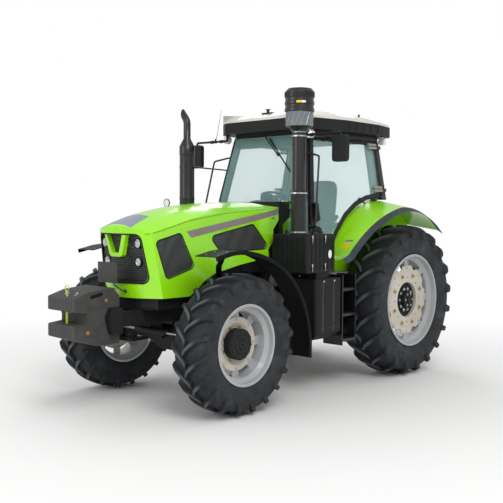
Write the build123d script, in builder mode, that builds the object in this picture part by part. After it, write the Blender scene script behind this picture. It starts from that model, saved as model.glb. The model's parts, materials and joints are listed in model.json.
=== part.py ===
from build123d import *
import os
from math import asin, atan2, cos, degrees, radians, sin, sqrt, tan

# Four-wheel-drive farm tractor, about 210 hp, with a cab, a tilting hood, steered front
# fenders, a rear three-point hitch and a stack of cast front weights.
#
# Frame: millimetres, +X forward, +Y to the driver's left, +Z up. The origin is on the ground,
# under the middle of the overall length and width.

os.makedirs("parts", exist_ok=True)

# ---------------------------------------------------------------- driving dimensions
wheelbase = 2850
rear_axle_x = -1475
front_axle_x = rear_axle_x + wheelbase

seat_gap = 0.3          # between faces that seat on each other
run_gap = 6             # between bodies that move past each other

rear_tyre_radius = 900
rear_tyre_width = 470
rear_track = 1860
rear_flange_radius = 548
rear_rim_width = 434
rear_disc_radius = 415
rear_disc_offset = 118  # disc plane, outboard of the wheel's middle
rear_axle_z = rear_tyre_radius

front_tyre_radius = 680
front_tyre_width = 380
front_track = 1818
front_flange_radius = 392
front_rim_width = 342
front_disc_radius = 262
front_disc_offset = 12
front_axle_z = front_tyre_radius

kingpin_y = front_track / 2 - 249
kingpin_radius = 25
steering_arm = 260      # kingpin to tie-rod pin, behind the axle
cylinder_arm = 275      # kingpin to cylinder eye, ahead of the axle

rail_y = 170            # inner face of the front frame's rails
rail_wall = 80
rail_bottom_z = 860
rail_top_z = 1000
frame_front_x = front_axle_x + 850

hood_wall = 7
hood_nose_x = front_axle_x + 755
hood_bottom_z = 1113
cowl_x = rear_axle_x + 1655      # hood hinge line, at the hood's rear edge
hood_hinge_z = 2040
cowl_front_gap = 14

floor_z = 1260
floor_thick = 80
cab_rear_x = rear_axle_x + 60
cab_top_z = 2869
door_glass = 6
roof_base_z = cab_top_z + seat_gap

fender_inner_y = rear_track / 2 - 275
floor_half = fender_inner_y - seat_gap
fender_outer_y = rear_track / 2 + 170
fender_flare_y = fender_outer_y + 68
fender_thick = 6

drawbar_z = 420
hitch_pin_x = rear_axle_x - 1190


def save(name, builder):
    """Label a finished sub-part and write it to parts/."""
    builder.part.label = name
    export_step(builder.part, f"parts/{name}.step")


def save_pair(name, left):
    """Write a left-hand sub-part and its mirror image on the tractor's right."""
    save(f"{name}_left", left)
    with BuildPart() as right:
        mirror(left.part, about=Plane.XZ)
    save(f"{name}_right", right)


def from_rear_axle(points):
    """Turn (x ahead of the rear axle, z) pairs into (x, z) in the tractor's frame."""
    return [(rear_axle_x + x, z) for x, z in points]


def from_front_axle(points):
    return [(front_axle_x + x, z) for x, z in points]


def side_plane(y):
    """The vertical plane at y whose local axes are the tractor's X and Z."""
    return Plane(origin=(0, y, 0), x_dir=(1, 0, 0), z_dir=(0, -1, 0))


def front_plane(x):
    """The vertical plane at x whose local axes are the tractor's Y and Z."""
    return Plane.YZ.offset(x)


# ---------------------------------------------------------------- wheels
# One row a wheel type: axle place, tyre radius and width, half track, rim and disc.
wheels = {
    "front": dict(x=front_axle_x, z=front_axle_z, radius=front_tyre_radius, width=front_tyre_width,
                  middle=front_track / 2, flange=front_flange_radius, rim_width=front_rim_width,
                  disc=front_disc_radius, offset=front_disc_offset, hub=150, hub_face=92,
                  hub_back=-95, dish=-30, scallop=0, lugs=8,
                  bars=20, bar_depth=38, bar_width=32, bar_lead=150),
    "rear": dict(x=rear_axle_x, z=rear_axle_z, radius=rear_tyre_radius, width=rear_tyre_width,
                 middle=rear_track / 2, flange=rear_flange_radius, rim_width=rear_rim_width,
                 disc=rear_disc_radius, offset=rear_disc_offset, hub=95, hub_face=150,
                 hub_back=-118, dish=-45, scallop=62, lugs=8,
                 bars=20, bar_depth=46, bar_width=40, bar_lead=190),
}
rim_wall = 10
bead_drop = 14          # flange top down to the bead seat
well_depth = 46         # bead seat down to the rim's well
tyre_wall = 30
disc_thick = 12
casing_sides = 24       # flat faces round a tyre's casing


def casing_half(wheel):
    """Half of a tyre's outside, crown to bead, as (radius, distance from the wheel's middle)."""
    half = wheel["width"] / 2
    crown = wheel["radius"] - wheel["bar_depth"]
    rise = crown - wheel["flange"]
    bead_half = wheel["rim_width"] / 2 - rim_wall - 3
    return [(crown, 0.45 * half), (crown - 0.10 * rise, 0.86 * half), (crown - 0.48 * rise, half),
            (wheel["flange"] + 4, bead_half), (wheel["flange"] - bead_drop + seat_gap, bead_half)]


def casing_segment(wheel):
    """One flat-faced segment of the casing, about the wheel's own middle, its crown towards +X."""
    outside = casing_half(wheel)
    bead, bead_half = outside[-1]
    inside = [(bead, bead_half - tyre_wall), (outside[2][0], outside[2][1] - tyre_wall),
              (outside[0][0] - tyre_wall, 0.7 * outside[2][1])]
    loop = outside + inside
    reach = 1.2 * wheel["radius"]
    side = reach * tan(radians(180 / casing_sides))
    with BuildPart() as segment:
        with BuildSketch(Plane.XZ):
            with BuildLine():
                Polyline(loop + [(radius, -y) for radius, y in reversed(loop)], close=True)
            make_face()
        extrude(amount=side, both=True)
        with BuildSketch(Plane.XY.offset(-wheel["width"])):
            with BuildLine():
                Polyline((0, 0), (reach, side), (reach, -side), close=True)
            make_face()
        extrude(amount=2 * wheel["width"], mode=Mode.INTERSECT)
    return segment.part


def tread_bar(wheel, side):
    """One bar of the tread, from the crown's middle back over the shoulder on this side.

    Its plan is a strip with one bend; its height follows the casing's section.
    """
    half = wheel["width"] / 2
    crown = wheel["radius"] - wheel["bar_depth"]
    rise = crown - wheel["flange"]
    lead = wheel["bar_lead"]
    across = wheel["bar_width"] / 2
    tip = sqrt(wheel["radius"] ** 2 - (lead / 2 + across) ** 2)
    bends = [(lead / 2, -0.04 * half), (0.14 * lead, 0.5 * half), (-lead / 2, 1.02 * half)]
    profile = [(crown - 20, -0.1 * half), (tip, -0.1 * half), (tip - 2, 0.6 * half),
               (crown + 0.03 * rise, half), (crown - 0.42 * rise, half), (crown - 0.40 * rise, 0.9 * half),
               (crown - 0.15 * rise, 0.8 * half)]
    with BuildPart() as bar:
        with BuildSketch(Plane.YZ):
            with BuildLine():
                Polyline([(round_axle + across, side * out) for round_axle, out in bends]
                         + [(round_axle - across, side * out) for round_axle, out in reversed(bends)],
                         close=True)
            make_face()
        extrude(amount=wheel["radius"])
        with BuildSketch(Plane.XZ):
            with BuildLine():
                Polyline([(radius, side * out) for radius, out in profile], close=True)
            make_face()
        extrude(amount=lead, both=True, mode=Mode.INTERSECT)
    return bar.part


def on_axle(wheel, local):
    """A wheel's part made about its own middle, set in its place with its axis along Y."""
    with BuildPart() as placed:
        with Locations(Plane(origin=(wheel["x"], wheel["middle"], wheel["z"]), x_dir=(1, 0, 0),
                             z_dir=(0, 1, 0))):
            add(local.part)
    return placed


def on_wheel(wheel, points):
    """Place (outboard distance from the wheel's middle, radius) points above its axle."""
    return [(wheel["middle"] + y, wheel["z"] + r) for y, r in points]


for kind, wheel in wheels.items():
    rim_half = wheel["rim_width"] / 2
    seat = wheel["flange"] - bead_drop
    axle_plane = front_plane(wheel["x"])
    axle = Axis((wheel["x"], 0, wheel["z"]), (0, 1, 0))

    with BuildPart() as tyre:
        with PolarLocations(0, casing_sides):
            add(casing_segment(wheel))
        with BuildSketch(Plane.XY.offset(-wheel["width"])):
            Circle(seat + seat_gap)
        extrude(amount=2 * wheel["width"], mode=Mode.SUBTRACT)
        # turned so that a bar's leading corner stands on the ground
        corner = degrees(asin((wheel["bar_lead"] + wheel["bar_width"]) / 2 / wheel["radius"]))
        for side, stagger in ((1, 0), (-1, 180 / wheel["bars"])):
            with PolarLocations(0, wheel["bars"], start_angle=90 - corner + stagger):
                add(tread_bar(wheel, side))
    save_pair(f"{kind}_tyre", on_axle(wheel, tyre))

    with BuildPart() as rim:
        well = seat - well_depth
        top = [(rim_half, wheel["flange"]), (rim_half - rim_wall, wheel["flange"]),
               (rim_half - rim_wall, seat), (0.70 * rim_half, seat - 6), (0.52 * rim_half, well)]
        under = [(0.55 * rim_half, well - rim_wall), (0.73 * rim_half, seat - rim_wall - 6),
                 (rim_half, seat - rim_wall)]
        section = (top + [(-y, r) for y, r in reversed(top)]
                   + [(-y, r) for y, r in reversed(under)] + under)
        with BuildSketch(axle_plane):
            with BuildLine():
                Polyline(on_wheel(wheel, section), close=True)
            make_face()
        revolve(axis=axle)
        lug_top = well - rim_wall + 4
        lug_bottom = wheel["disc"] - 26
        lug_y = wheel["middle"] + wheel["offset"] - seat_gap - 14
        lug_face = Plane(origin=(wheel["x"], lug_y, wheel["z"]), x_dir=(1, 0, 0), z_dir=(0, 1, 0))
        with BuildSketch(lug_face):
            with PolarLocations((lug_top + lug_bottom) / 2, wheel["lugs"]):
                Rectangle(lug_top - lug_bottom, 90)
        extrude(amount=14)
    save_pair(f"{kind}_rim", rim)

    with BuildPart() as disc:
        face = wheel["offset"]
        dish = wheel["dish"]
        hub = wheel["hub"]
        section = [
            (wheel["hub_back"], 0), (wheel["hub_face"], 0), (wheel["hub_face"], hub * 0.8),
            (wheel["hub_face"] - 14, hub), (face + dish + disc_thick, hub),
            (face + dish + disc_thick, 0.62 * wheel["disc"]), (face + disc_thick, 0.8 * wheel["disc"]),
            (face + disc_thick, wheel["disc"]), (face, wheel["disc"]), (face, 0.8 * wheel["disc"] - 6),
            (face + dish, 0.62 * wheel["disc"] - 6), (face + dish, hub + 20),
            (face + dish - 50, hub + 20), (face + dish - 50, hub - 20), (wheel["hub_back"], hub - 20)]
        with BuildSketch(axle_plane):
            with BuildLine():
                Polyline(on_wheel(wheel, section), close=True)
            make_face()
        revolve(axis=axle)
        if wheel["scallop"]:
            # scallops in the disc's edge, between the rim's lugs
            with BuildSketch(Plane(origin=(wheel["x"], wheel["middle"] + face - 1, wheel["z"]),
                                   x_dir=(1, 0, 0), z_dir=(0, 1, 0))):
                with PolarLocations(wheel["disc"] + 24, wheel["lugs"], start_angle=180 / wheel["lugs"]):
                    Circle(wheel["scallop"])
            extrude(amount=disc_thick + 2, mode=Mode.SUBTRACT)
    save_pair(f"{kind}_disc", disc)

# ---------------------------------------------------------------- front axle and steering
axle_bulb = 168
axle_neck = 80
eye_radius = 68
eye_half = 95
trunnion_radius = 55
trunnion_reach = 215
saddle_thick = 40
cylinder_radius = 32
cylinder_half = 230
rod_radius = 15
arm_thick = 24
arm_z = front_axle_z - 70
cylinder_z = front_axle_z + 62
knuckle_gap = 0.4

with BuildPart() as front_axle:
    housing = [(110, axle_bulb), (230, 105), (300, axle_neck), (kingpin_y, axle_neck - 22)]
    outline = [(-y, r) for y, r in reversed(housing)] + housing
    with BuildSketch(front_plane(front_axle_x)):
        with BuildLine():
            Polyline([(-kingpin_y, front_axle_z)] + [(y, front_axle_z + r) for y, r in outline]
                     + [(kingpin_y, front_axle_z)], close=True)
        make_face()
    revolve(axis=Axis((front_axle_x, 0, front_axle_z), (0, 1, 0)))
    with BuildSketch(front_plane(front_axle_x)):
        with Locations((0, front_axle_z + 60)):
            Circle(trunnion_radius)
    extrude(amount=trunnion_reach, both=True)
    for side in (1, -1):
        with BuildSketch(Plane.XY.offset(front_axle_z - eye_half)):
            with Locations((front_axle_x, side * kingpin_y)):
                Circle(eye_radius)
        extrude(amount=2 * eye_half)
        with BuildSketch(Plane.XY.offset(front_axle_z - eye_half)):
            with Locations((front_axle_x, side * kingpin_y)):
                Circle(kingpin_radius + knuckle_gap)
        extrude(amount=2 * eye_half, mode=Mode.SUBTRACT)
    with BuildSketch(side_plane(cylinder_half)):
        with Locations((front_axle_x + cylinder_arm, cylinder_z)):
            Circle(cylinder_radius)
    extrude(amount=2 * cylinder_half)
    with BuildSketch(side_plane(cylinder_half)):
        with Locations((front_axle_x + cylinder_arm, cylinder_z)):
            Circle(rod_radius + knuckle_gap)
    extrude(amount=2 * cylinder_half, mode=Mode.SUBTRACT)
    for y in (-150, 110):
        with BuildSketch(side_plane(y + 40)):
            with Locations((front_axle_x + 175, cylinder_z - 8)):
                Rectangle(150, 44)
        extrude(amount=40)
save("front_axle", front_axle)

knuckle_wall_y = kingpin_y + eye_radius + 12
knuckle_arm_z = eye_half + run_gap
knuckle_arm_depth = 45
knuckle_top_z = front_axle_z + knuckle_arm_z + knuckle_arm_depth
with BuildPart() as knuckle:
    for z in (front_axle_z - knuckle_arm_z - knuckle_arm_depth, front_axle_z + knuckle_arm_z):
        with BuildSketch(Plane.XY.offset(z)):
            with Locations((front_axle_x, kingpin_y)):
                Circle(72)
            with Locations((front_axle_x, kingpin_y + 70)):
                Rectangle(144, 140)
        extrude(amount=knuckle_arm_depth)
    with BuildSketch(side_plane(knuckle_wall_y + 60)):
        with Locations((front_axle_x, front_axle_z)):
            Rectangle(144, 2 * (knuckle_arm_z + knuckle_arm_depth))
    extrude(amount=60)
    with BuildSketch(Plane.XY.offset(front_axle_z - knuckle_arm_z - knuckle_arm_depth)):
        with Locations((front_axle_x, kingpin_y)):
            Circle(kingpin_radius)
    extrude(amount=2 * (knuckle_arm_z + knuckle_arm_depth))
    with BuildSketch(Plane.XY.offset(front_axle_z - knuckle_arm_z - knuckle_arm_depth)):
        with BuildLine():
            Polyline([(front_axle_x - 60, kingpin_y - 55), (front_axle_x - 60, kingpin_y + 60),
                      (front_axle_x - steering_arm - 30, kingpin_y + 28),
                      (front_axle_x - steering_arm - 30, kingpin_y - 28)], close=True)
        make_face()
    extrude(amount=arm_thick)
    with BuildSketch(Plane.XY.offset(front_axle_z + knuckle_arm_z)):
        with BuildLine():
            Polyline([(front_axle_x + 60, kingpin_y + 60), (front_axle_x + 60, kingpin_y - 55),
                      (front_axle_x + cylinder_arm + 28, kingpin_y - 26),
                      (front_axle_x + cylinder_arm + 28, kingpin_y + 26)], close=True)
        make_face()
    extrude(amount=arm_thick)
    with BuildSketch(side_plane(front_track / 2 - 95 - seat_gap)):
        with Locations((front_axle_x, front_axle_z)):
            Circle(62)
    extrude(amount=front_track / 2 - 95 - seat_gap - knuckle_wall_y - 50)
save_pair("knuckle", knuckle)

pin_gap = 0.5
tie_z = front_axle_z - knuckle_arm_z - knuckle_arm_depth - pin_gap
with BuildPart() as tie_rod:
    for side in (1, -1):
        with BuildSketch(Plane.XY.offset(tie_z - 36)):
            with Locations((front_axle_x - steering_arm, side * kingpin_y)):
                Circle(26)
        extrude(amount=36)
    with BuildSketch(side_plane(kingpin_y)):
        with Locations((front_axle_x - steering_arm, tie_z - 18)):
            Circle(17)
    extrude(amount=2 * kingpin_y)
save("tie_rod", tie_rod)

with BuildPart() as steering_rod:
    with BuildSketch(side_plane(kingpin_y)):
        with Locations((front_axle_x + cylinder_arm, cylinder_z)):
            Circle(rod_radius)
    extrude(amount=2 * kingpin_y)
    for side in (1, -1):
        eye_top = front_axle_z + knuckle_arm_z - pin_gap
        with BuildSketch(Plane.XY.offset(eye_top - 64)):
            with Locations((front_axle_x + cylinder_arm, side * kingpin_y)):
                Circle(24)
        extrude(amount=64)
save("steering_rod", steering_rod)

# Front fender: a strip round the tyre with a lip along its outer edge, on a stay from the knuckle.
mudguard_thick = 5
mudguard_inner_y = front_track / 2 - 129
mudguard_outer_y = front_track / 2 + 153
stay_y = kingpin_y + 34
stay_width = 70
mudguard_lip = 42
# a straight tip, then arcs that run on from each other, ahead of the axle and above the ground
mudguard_line = [(410, 1534), (250, 1568), (0, 1580), (-390, 1482), (-690, 1289), (-840, 1105),
                 (-1000, 430)]
stay_top_z = mudguard_line[2][1] - mudguard_thick
with BuildPart() as front_fender:
    for depth, width in ((mudguard_thick, mudguard_outer_y - mudguard_inner_y),
                         (mudguard_lip, mudguard_thick)):
        with BuildSketch(side_plane(mudguard_outer_y)):
            with BuildLine():
                tip, crown, *back = from_front_axle(mudguard_line)
                edge = Line(tip, crown)
                for point in back:
                    edge = TangentArc(edge @ 1, point, tangent=edge % 1)
                offset(amount=depth, side=Side.LEFT)
            make_face()
        extrude(amount=width)
    # stay: a flat bar from the knuckle's top, up inboard of the tyre and out under the strip
    with BuildSketch(front_plane(front_axle_x - stay_width / 2)):
        with BuildLine():
            Polyline((stay_y - 80, knuckle_top_z + seat_gap), (stay_y, knuckle_top_z + seat_gap),
                     (stay_y, front_axle_z + 730), (mudguard_inner_y + 10, stay_top_z),
                     (mudguard_outer_y - 12, stay_top_z))
            offset(amount=12, side=Side.LEFT)
        make_face()
    extrude(amount=stay_width)
save_pair("front_fender", front_fender)

# ---------------------------------------------------------------- the hood's nose, in plan
nose_top_z = 1756       # front edge of the hood's top
nose_lean = 0.12        # the nose runs back by this much for each unit down
nose_radius = 620


def nose_arc(z, inset, radius, half):
    """Ends and middle of the nose's arc in plan at height z, drawn in by inset."""
    front = hood_nose_x - nose_lean * (nose_top_z - z) - inset
    back = front - radius + sqrt(radius ** 2 - half ** 2)
    return (back, half), (front, 0), (back, -half)


def behind_nose(inset, radius):
    """All that lies behind a nose of this radius in plan, leaning as the hood's does."""
    half = 470
    with BuildPart() as block:
        for z in (900, 2300):
            left, middle, right = nose_arc(z, inset, radius, half)
            with BuildSketch(Plane.XY.offset(z)):
                with BuildLine():
                    ThreePointArc(left, middle, right)
                    Polyline(right, (cowl_x - 300, -half), (cowl_x - 300, half), left)
                make_face()
        loft(ruled=True)
    return block.part


# ---------------------------------------------------------------- chassis
engine_half = rail_y - seat_gap
engine_front_x = front_axle_x + 200
engine_rear_x = rear_axle_x + 1950
engine_top_z = 1580
radiator_back_x = front_axle_x + 320
radiator_thick = 190
radiator_width = 600
belt_half = 378         # dark band under the hood
belt_rear_x = front_axle_x + 215
belt_setback = 40       # from the nose's lower edge
belt_flange = 45
belt_wall = 8
ledge_thick = 8
ledge_half = 430
ledge_rear_half = 444

with BuildPart() as engine_block:
    with BuildSketch(Plane.XY.offset(rail_bottom_z)):
        with Locations(((engine_front_x + engine_rear_x) / 2, 0)):
            Rectangle(engine_front_x - engine_rear_x, 2 * engine_half)
    extrude(amount=engine_top_z - rail_bottom_z)
save("engine_block", engine_block)

with BuildPart() as radiator:
    with BuildSketch(Plane.XY.offset(rail_top_z + seat_gap)):
        with Locations((radiator_back_x + radiator_thick / 2, 0)):
            Rectangle(radiator_thick, radiator_width)
    extrude(amount=680)
save("radiator", radiator)

with BuildPart() as front_frame:
    for side in (1, -1):
        with BuildSketch(Plane.XY.offset(rail_bottom_z)):
            with Locations(((engine_rear_x + 250 + frame_front_x) / 2, side * (rail_y + rail_wall / 2))):
                Rectangle(frame_front_x - engine_rear_x - 250, rail_wall)
        extrude(amount=rail_top_z - rail_bottom_z)
    with BuildSketch(Plane.XY.offset(rail_bottom_z)):
        with Locations((frame_front_x - 60, 0)):
            Rectangle(120, 2 * rail_y + 20)
    extrude(amount=rail_top_z - rail_bottom_z)
    for x in (front_axle_x - trunnion_reach, front_axle_x + trunnion_reach - saddle_thick):
        with BuildSketch(Plane.YZ.offset(x)):
            with Locations((0, (front_axle_z - 15 + rail_bottom_z) / 2)):
                Rectangle(180, rail_bottom_z - front_axle_z + 15)
            with Locations((0, rail_bottom_z - 20)):
                Rectangle(2 * rail_y + 2 * rail_wall, 40)
            with Locations((0, front_axle_z + 60)):
                Circle(trunnion_radius + knuckle_gap, mode=Mode.SUBTRACT)
        extrude(amount=saddle_thick)
    # belt under the hood's edge: a flange on the rails and a wall, drawn in from the nose
    for inner, height in ((belt_flange, 30), (belt_wall, hood_bottom_z - seat_gap - rail_top_z)):
        with BuildSketch(Plane.XY.offset(rail_top_z)):
            for inset, mode in ((0, Mode.ADD), (inner, Mode.SUBTRACT)):
                with BuildLine():
                    left, middle, right = nose_arc(hood_bottom_z, belt_setback + inset, nose_radius,
                                                   belt_half - inset)
                    ThreePointArc(left, middle, right)
                    Polyline(right, (belt_rear_x + inset, right[1]), (belt_rear_x + inset, left[1]), left)
                make_face(mode=mode)
        extrude(amount=height)
    with BuildSketch(Plane.XY.offset(rail_top_z)):
        with Locations((belt_rear_x + 60, 0), (radiator_back_x + radiator_thick + 60, 0)):
            Rectangle(60, 2 * belt_half - 4)
    extrude(amount=12)
    # ledge round the belt's top, which the hood's lower edge rests on
    with BuildSketch(Plane.XY.offset(hood_bottom_z - seat_gap - ledge_thick)):
        with BuildLine():
            left, middle, right = nose_arc(hood_bottom_z, 1, nose_radius, ledge_half)
            ThreePointArc(left, middle, right)
            Polyline(right, (belt_rear_x, -ledge_rear_half), (belt_rear_x, ledge_rear_half), left)
        make_face()
        with BuildLine():
            left, middle, right = nose_arc(hood_bottom_z, belt_setback + belt_wall / 2, nose_radius,
                                           belt_half - belt_wall / 2)
            ThreePointArc(left, middle, right)
            Polyline(right, (belt_rear_x + belt_wall / 2, right[1]),
                     (belt_rear_x + belt_wall / 2, left[1]), left)
        make_face(mode=Mode.SUBTRACT)
    extrude(amount=ledge_thick)
save("front_frame", front_frame)

transmission_half = 195
hitch_face = -380       # rear face of the lift housing, from the rear axle
lift_x = rear_axle_x - 300
lift_z = 1200
lift_shaft_radius = 40
link_x = rear_axle_x - 200
link_z = 560
link_front_y = 330      # lower links at their front pins
link_rear_y = 435       # and at their hitch eyes
link_pin_radius = 18
top_pin_dx = -425       # top link's front pin, from the rear axle
top_pin_z = 1090
top_pin_radius = 12.7
top_link_half = 18
top_link_length = 560
top_tube_radius = 22
top_eye_bore = 12.9
hitch_bore_radius = 18.5
fork_gap = 2
pto_z = 700
pto_radius = 17.5
pto_length = 85
axle_end_y = rear_track / 2 - rear_disc_offset - seat_gap
mount_y = 400
outrigger_half = 600
with BuildPart() as transmission:
    with BuildSketch(side_plane(transmission_half)):
        with BuildLine():
            Polyline(from_rear_axle([(hitch_face, 620), (hitch_face, 1255), (-345, 1288), (-225, 1288),
                                     (-120, 1180), (420, 1120), (900, 1040),
                                     (1500, 1080), (1950 - seat_gap, 1180), (1950 - seat_gap, 520),
                                     (1500, 470), (300, 470), (-200, 520)]), close=True)
        make_face()
    extrude(amount=2 * transmission_half)
    with BuildSketch(side_plane(transmission_half)):
        with Locations((lift_x, lift_z)):
            Circle(lift_shaft_radius + knuckle_gap)
    extrude(amount=2 * transmission_half, mode=Mode.SUBTRACT)
    trumpet = [(transmission_half - 5, 235), (330, 205), (480, 130), (axle_end_y, 110)]
    outline = [(-y, r) for y, r in reversed(trumpet)] + trumpet
    with BuildSketch(front_plane(rear_axle_x)):
        with BuildLine():
            Polyline([(-axle_end_y, rear_axle_z)] + [(y, rear_axle_z + r) for y, r in outline]
                     + [(axle_end_y, rear_axle_z)], close=True)
        make_face()
    revolve(axis=Axis((rear_axle_x, 0, rear_axle_z), (0, 1, 0)))
    # cab mounts on the axle housings and on brackets at the clutch housing
    for x, foot_z in ((rear_axle_x + 120, 980), (rear_axle_x + 1380, 900)):
        with BuildSketch(Plane.XY.offset(foot_z)):
            with Locations((x, mount_y), (x, -mount_y)):
                Rectangle(110, 110)
        extrude(amount=floor_z - seat_gap - foot_z)
    with BuildSketch(Plane.XY.offset(860)):
        with Locations((rear_axle_x + 1380, 0)):
            Rectangle(120, 2 * mount_y + 110)
    extrude(amount=60)
    # outriggers for the fuel tank, the battery box and the steps
    with BuildSketch(Plane.XY.offset(600)):
        with Locations((rear_axle_x + 1340, 0), (rear_axle_x + 1620, 0)):
            Rectangle(70, 2 * (outrigger_half - seat_gap))
    extrude(amount=80)
    # power take-off shaft
    with BuildSketch(front_plane(rear_axle_x + hitch_face)):
        with Locations((0, pto_z)):
            Circle(pto_radius)
    extrude(amount=-pto_length)
    # pins of the lower links, each with a collar
    with BuildSketch(side_plane(link_front_y + 24)):
        with Locations((link_x, link_z)):
            Circle(link_pin_radius)
    extrude(amount=2 * (link_front_y + 24))
    with BuildSketch(side_plane(link_front_y - 18 - pin_gap)):
        with Locations((link_x, link_z)):
            Circle(link_pin_radius + 14)
    extrude(amount=2 * (link_front_y - 18 - pin_gap))
    # lugs and pin of the top link, and the clip that holds it upright
    for y in (top_link_half + 16 + pin_gap, -top_link_half - pin_gap):
        with BuildSketch(side_plane(y)):
            with BuildLine():
                Polyline(from_rear_axle([
                    (hitch_face + 5, top_pin_z - 50), (hitch_face + 5, top_pin_z + 50),
                    (top_pin_dx - 22, top_pin_z + 24), (top_pin_dx - 22, top_pin_z - 24)]), close=True)
            make_face()
        extrude(amount=16)
    with BuildSketch(side_plane(top_link_half + 10)):
        with Locations((rear_axle_x + top_pin_dx, top_pin_z)):
            Circle(top_pin_radius)
    extrude(amount=2 * top_link_half + 20)
    with BuildSketch(Plane.XY.offset(1215)):
        with Locations((rear_axle_x + hitch_face - 40, top_tube_radius + seat_gap + 5),
                       (rear_axle_x + hitch_face - 40, -top_tube_radius - seat_gap - 5)):
            Rectangle(90, 10)
    extrude(amount=35)
    # drawbar hanger
    with BuildSketch(front_plane(rear_axle_x - 300)):
        with Locations((0, drawbar_z + 40 + 65)):
            Rectangle(200, 130)
    extrude(amount=120)
save("transmission", transmission)

# ---------------------------------------------------------------- hood
# One moulded shell: half widths and heights of its cross-section at each station, by the
# distance ahead of the hood's rear edge as a share of its length.
hood_length = hood_nose_x - cowl_x
hood_sections = [  # share of length, half width at bottom, half width at crease, crease z, crown z
    (-0.01, 455, 430, 2006, 2064),
    (0.42, 455, 430, 1945, 2036),
    (0.68, 450, 425, 1872, 1982),
    (0.88, 437, 410, 1768, 1892),
    (1.00, 392, 360, 1712, 1806),
]
hood_lower_z = 1050


def hood_x(share):
    return cowl_x + share * hood_length


def hood_body(inset):
    """The solid inside the hood's surface, drawn in by inset on every side."""
    with BuildPart() as body:
        for share, low, crease, crease_z, crown_z in hood_sections:
            station = hood_x(share) - (inset if share > 0 else 0)
            with BuildSketch(front_plane(station)):
                with BuildLine():
                    Polyline((crease - inset, crease_z), (low - inset, hood_lower_z),
                             (inset - low, hood_lower_z), (inset - crease, crease_z))
                    ThreePointArc((inset - crease, crease_z), (0, crown_z - inset),
                                  (crease - inset, crease_z))
                make_face()
        loft()
        add(behind_nose(inset, nose_radius), mode=Mode.INTERSECT)
    return body.part


hood_windows = [  # corners, ahead of the front axle and above the ground
    [(560, 1658), (267, 1734), (93, 1400), (447, 1301)],
    [(-141, 1692), (-752, 1813), (-996, 1556), (-285, 1536)],
]

recess_depth = 3


def window_recess():
    """The skin to be taken off round the rear windows."""
    with BuildPart() as recess:
        add(hood_body(0))
        add(hood_body(recess_depth), mode=Mode.SUBTRACT)
        with BuildSketch(side_plane(600)):
            with BuildLine():
                Polyline(from_front_axle(hood_windows[1]), close=True)
            make_face()
            offset(amount=34)
        extrude(amount=1200, mode=Mode.INTERSECT)
    return recess.part


# Grille opening, and the U-shaped band that hangs in it from the hood's front edge
opening_corners = [(345, 1262), (300, 1722)]     # half width, height
band_outside = [(176, 1770), (88, 1508)]
band_inside = [(134, 1770), (56, 1546)]
panel_setback = 56      # grille panel behind the nose's foremost line
panel_radius = 1000
panel_thick = 10


def front_outline(corners, rounding):
    """Face on the nose between two half widths and their mirror images, with round corners."""
    (low_half, low_z), (high_half, high_z) = corners
    with BuildSketch() as outline:
        with BuildLine():
            Polyline((-low_half, low_z), (low_half, low_z), (high_half, high_z), (-high_half, high_z),
                     close=True)
        make_face()
        fillet(outline.vertices(), rounding)
    return outline.sketch


def grille_panel():
    """The grille panel: a curved plate a little larger than the opening, with the lamps' holes."""
    (low_half, low_z), (high_half, high_z) = opening_corners
    with BuildPart() as panel:
        add(behind_nose(panel_setback, panel_radius))
        add(behind_nose(panel_setback + panel_thick, panel_radius), mode=Mode.SUBTRACT)
        with BuildSketch(front_plane(hood_nose_x - 400)):
            add(front_outline([(low_half + screen_lap, low_z - screen_lap),
                               (high_half + screen_lap, high_z + screen_lap)], 62))
            for y, z, radius in headlamp_places:
                with Locations((y, z), (-y, z)):
                    Circle(radius + seat_gap, mode=Mode.SUBTRACT)
        extrude(amount=450, mode=Mode.INTERSECT)
        add(hood_body(hood_wall + seat_gap), mode=Mode.INTERSECT)
    return panel.part


def nose_band():
    """The U-shaped band, from the nose's surface back to the grille panel."""
    with BuildPart() as band:
        with BuildSketch(front_plane(hood_nose_x - 250)):
            add(front_outline(band_outside, 40))
            add(front_outline(band_inside, 30), mode=Mode.SUBTRACT)
        extrude(amount=300)
        add(hood_body(0), mode=Mode.INTERSECT)
        add(behind_nose(panel_setback - seat_gap, panel_radius), mode=Mode.SUBTRACT)
    return band.part


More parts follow.
